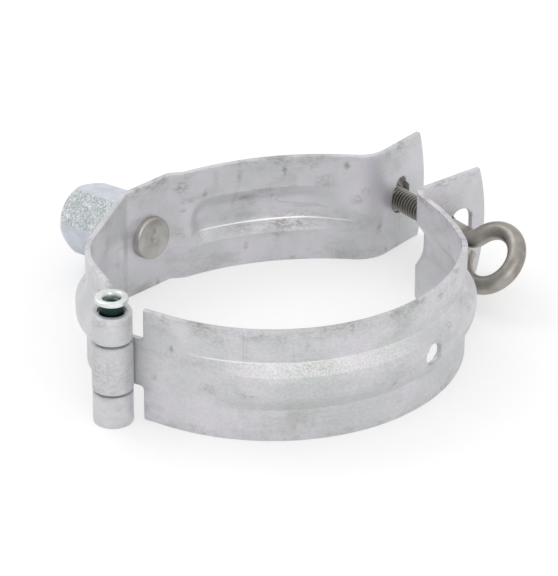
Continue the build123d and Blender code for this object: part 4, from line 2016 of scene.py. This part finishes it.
@dataclass
class Studio:
    """Pale floor, soft lights and the camera."""

    floor_size: float = 6.0
    focal_length: float = 225.0
    sensor: float = 36.0
    camera_place: Vector = Vector((2.03, -785.90, 443.74)) * MM
    camera_pitch: float = 28.6
    camera_roll: float = 0.4
    floor_shown: tuple[float, float, float] = (246, 246, 246)
    floor_lighting: tuple[float, float, float] = (204, 204, 204)
    floor_glow: float = 0.45
    far_horizon: tuple[float, float, float] = (196, 197, 197)
    near_horizon: tuple[float, float, float] = (244, 244, 244)
    overhead: tuple[float, float, float] = (255, 255, 255)
    sky_strength: float = 0.88
    key_place: Vector = Vector((-0.9, 0.7, 1.5))
    key_size: float = 0.9
    key_power: float = 4.0
    fill_place: Vector = Vector((0.6, -1.7, 0.95))
    fill_size: float = 1.3
    fill_power: float = 5.0

    @staticmethod
    def seen(graph: Graph) -> bpy.types.NodeSocket:
        """Tell the rays that show the background: seen, mirrored or let through.

        Args:
            graph: Node tree that asks.

        Returns:
            Socket that is 1 for such rays and 0 for those that only light.
        """
        rays = graph.node("ShaderNodeLightPath").outputs
        mirrored = graph.calc("MAXIMUM", rays["Is Camera Ray"], rays["Is Glossy Ray"])
        return graph.calc("MAXIMUM", mirrored, rays["Is Transmission Ray"])

    def floor(self) -> None:
        """Lay a pale floor that stays white where no shadow falls."""
        Bench.clear()
        bpy.ops.mesh.primitive_plane_add(size=self.floor_size, location=(0, 0, -0.02 * MM))
        floor = bpy.context.active_object
        floor.name = "studio_floor"
        metal = Metal("studio_floor", 0.0)
        graph = metal.graph
        metal.shader.inputs["Specular IOR Level"].default_value = 0.1
        seen = self.seen(graph)
        pale = graph.mix(seen, colour(*self.floor_shown), colour(*self.floor_lighting))
        metal.paint(pale, 0.9)
        graph.feed(metal.shader.inputs["Emission Color"], (1.0, 1.0, 1.0, 1.0))
        glow = graph.calc("MULTIPLY", seen, self.floor_glow)
        graph.feed(metal.shader.inputs["Emission Strength"], glow)
        floor.data.materials.append(metal.material)

    def sky(self) -> None:
        """Surround the clamp with soft light that looks white to the camera."""
        world = bpy.data.worlds.new("studio")
        bpy.context.scene.world = world
        world.use_nodes = True
        world.node_tree.nodes.clear()
        graph = Graph(world.node_tree)
        way = graph.node("ShaderNodeSeparateXYZ")
        graph.feed(way.inputs[0], graph.node("ShaderNodeTexCoord").outputs["Generated"])
        near = graph.sift(way.outputs["Y"], 0.6, -0.6)
        horizon = graph.mix(near, colour(*self.far_horizon), colour(*self.near_horizon))
        high = graph.sift(way.outputs["Z"], -0.05, 0.75)
        shade = graph.mix(high, horizon, colour(*self.overhead))
        light = graph.node("ShaderNodeBackground")
        graph.feed(light.inputs["Color"], shade)
        graph.feed(light.inputs["Strength"], self.sky_strength)
        white = graph.node("ShaderNodeBackground")
        graph.feed(white.inputs["Color"], (1.0, 1.0, 1.0, 1.0))
        graph.feed(white.inputs["Strength"], 1.0)
        either = graph.node("ShaderNodeMixShader")
        graph.feed(either.inputs[0], self.seen(graph))
        graph.feed(either.inputs[1], light.outputs[0])
        graph.feed(either.inputs[2], white.outputs[0])
        target = graph.node("ShaderNodeOutputWorld")
        graph.feed(target.inputs["Surface"], either.outputs[0])

    @staticmethod
    def lamp(name: str, place: Vector, size: float, power: float) -> None:
        """Hang an area lamp that points at the clamp.

        Args:
            name: Name of the lamp.
            place: Where it hangs, in metres.
            size: Side of its square, in metres.
            power: Power, in watts.
        """
        data = bpy.data.lights.new(name, "AREA")
        data.size = size
        data.energy = power
        lamp = bpy.data.objects.new(name, data)
        lamp.matrix_world = (
            Matrix.Translation(place) @ (-place).to_track_quat("-Z", "Y").to_matrix().to_4x4()
        )
        bpy.context.scene.collection.objects.link(lamp)

    def camera(self) -> None:
        """Set up the camera."""
        data = bpy.data.cameras.new("camera")
        data.lens = self.focal_length
        data.sensor_width = self.sensor
        data.clip_start, data.clip_end = 0.05, 20.0
        camera = bpy.data.objects.new("camera", data)
        tilt = Matrix.Rotation(math.radians(90 - self.camera_pitch), 4, "X")
        roll = Matrix.Rotation(math.radians(self.camera_roll), 4, "Z")
        camera.matrix_world = Matrix.Translation(self.camera_place) @ tilt @ roll
        bpy.context.scene.collection.objects.link(camera)
        bpy.context.scene.camera = camera

    def build(self) -> None:
        """Set up the whole studio."""
        self.floor()
        self.sky()
        self.lamp("key", self.key_place, self.key_size, self.key_power)
        self.lamp("fill", self.fill_place, self.fill_size, self.fill_power)
        self.camera()
        bpy.context.scene.view_settings.view_transform = "Standard"


def main() -> None:
    """Build the clamp and its studio, and log how many triangles each piece of the clamp has."""
    logging.basicConfig(level=logging.INFO, format="%(name)s: %(message)s")
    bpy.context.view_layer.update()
    effects = Effects()
    sheet = GalvanisedSheet("galvanised sheet").material(effects)
    RearHalf().strap().build(sheet)
    FrontHalf().strap().build(sheet)
    bright = PlatedZinc(
        "bright zinc", (232, 236, 234), (206, 212, 210), metallic=0.9, roughness=0.22
    )
    HingePin().build(bright.material(effects))
    plate = PlatedZinc("zinc plate")
    worked = PlatedZinc("worked zinc plate", (202, 207, 209), (190, 195, 197), worked=0.6)
    Boss().build(plate.material(effects), worked.material(effects))
    nickel = BareMetal("nickel plate", (190, 188, 183), (170, 167, 161))
    Rivet().build(nickel.material(effects))
    EyeBolt().build(BareMetal("stainless wire").material(effects))
    # Zinc plate of the nut, toned darker and warmer than the boss's as painted shade for where it shows through
    # the rear ear's slot.
    nut_plate_in_shade = PlatedZinc("zinc plated nut", (196, 195, 190), (176, 175, 170), worked=0.3)
    Nut().build(nut_plate_in_shade.material(effects))
    Studio().build()


if __name__ == "__main__":
    main()
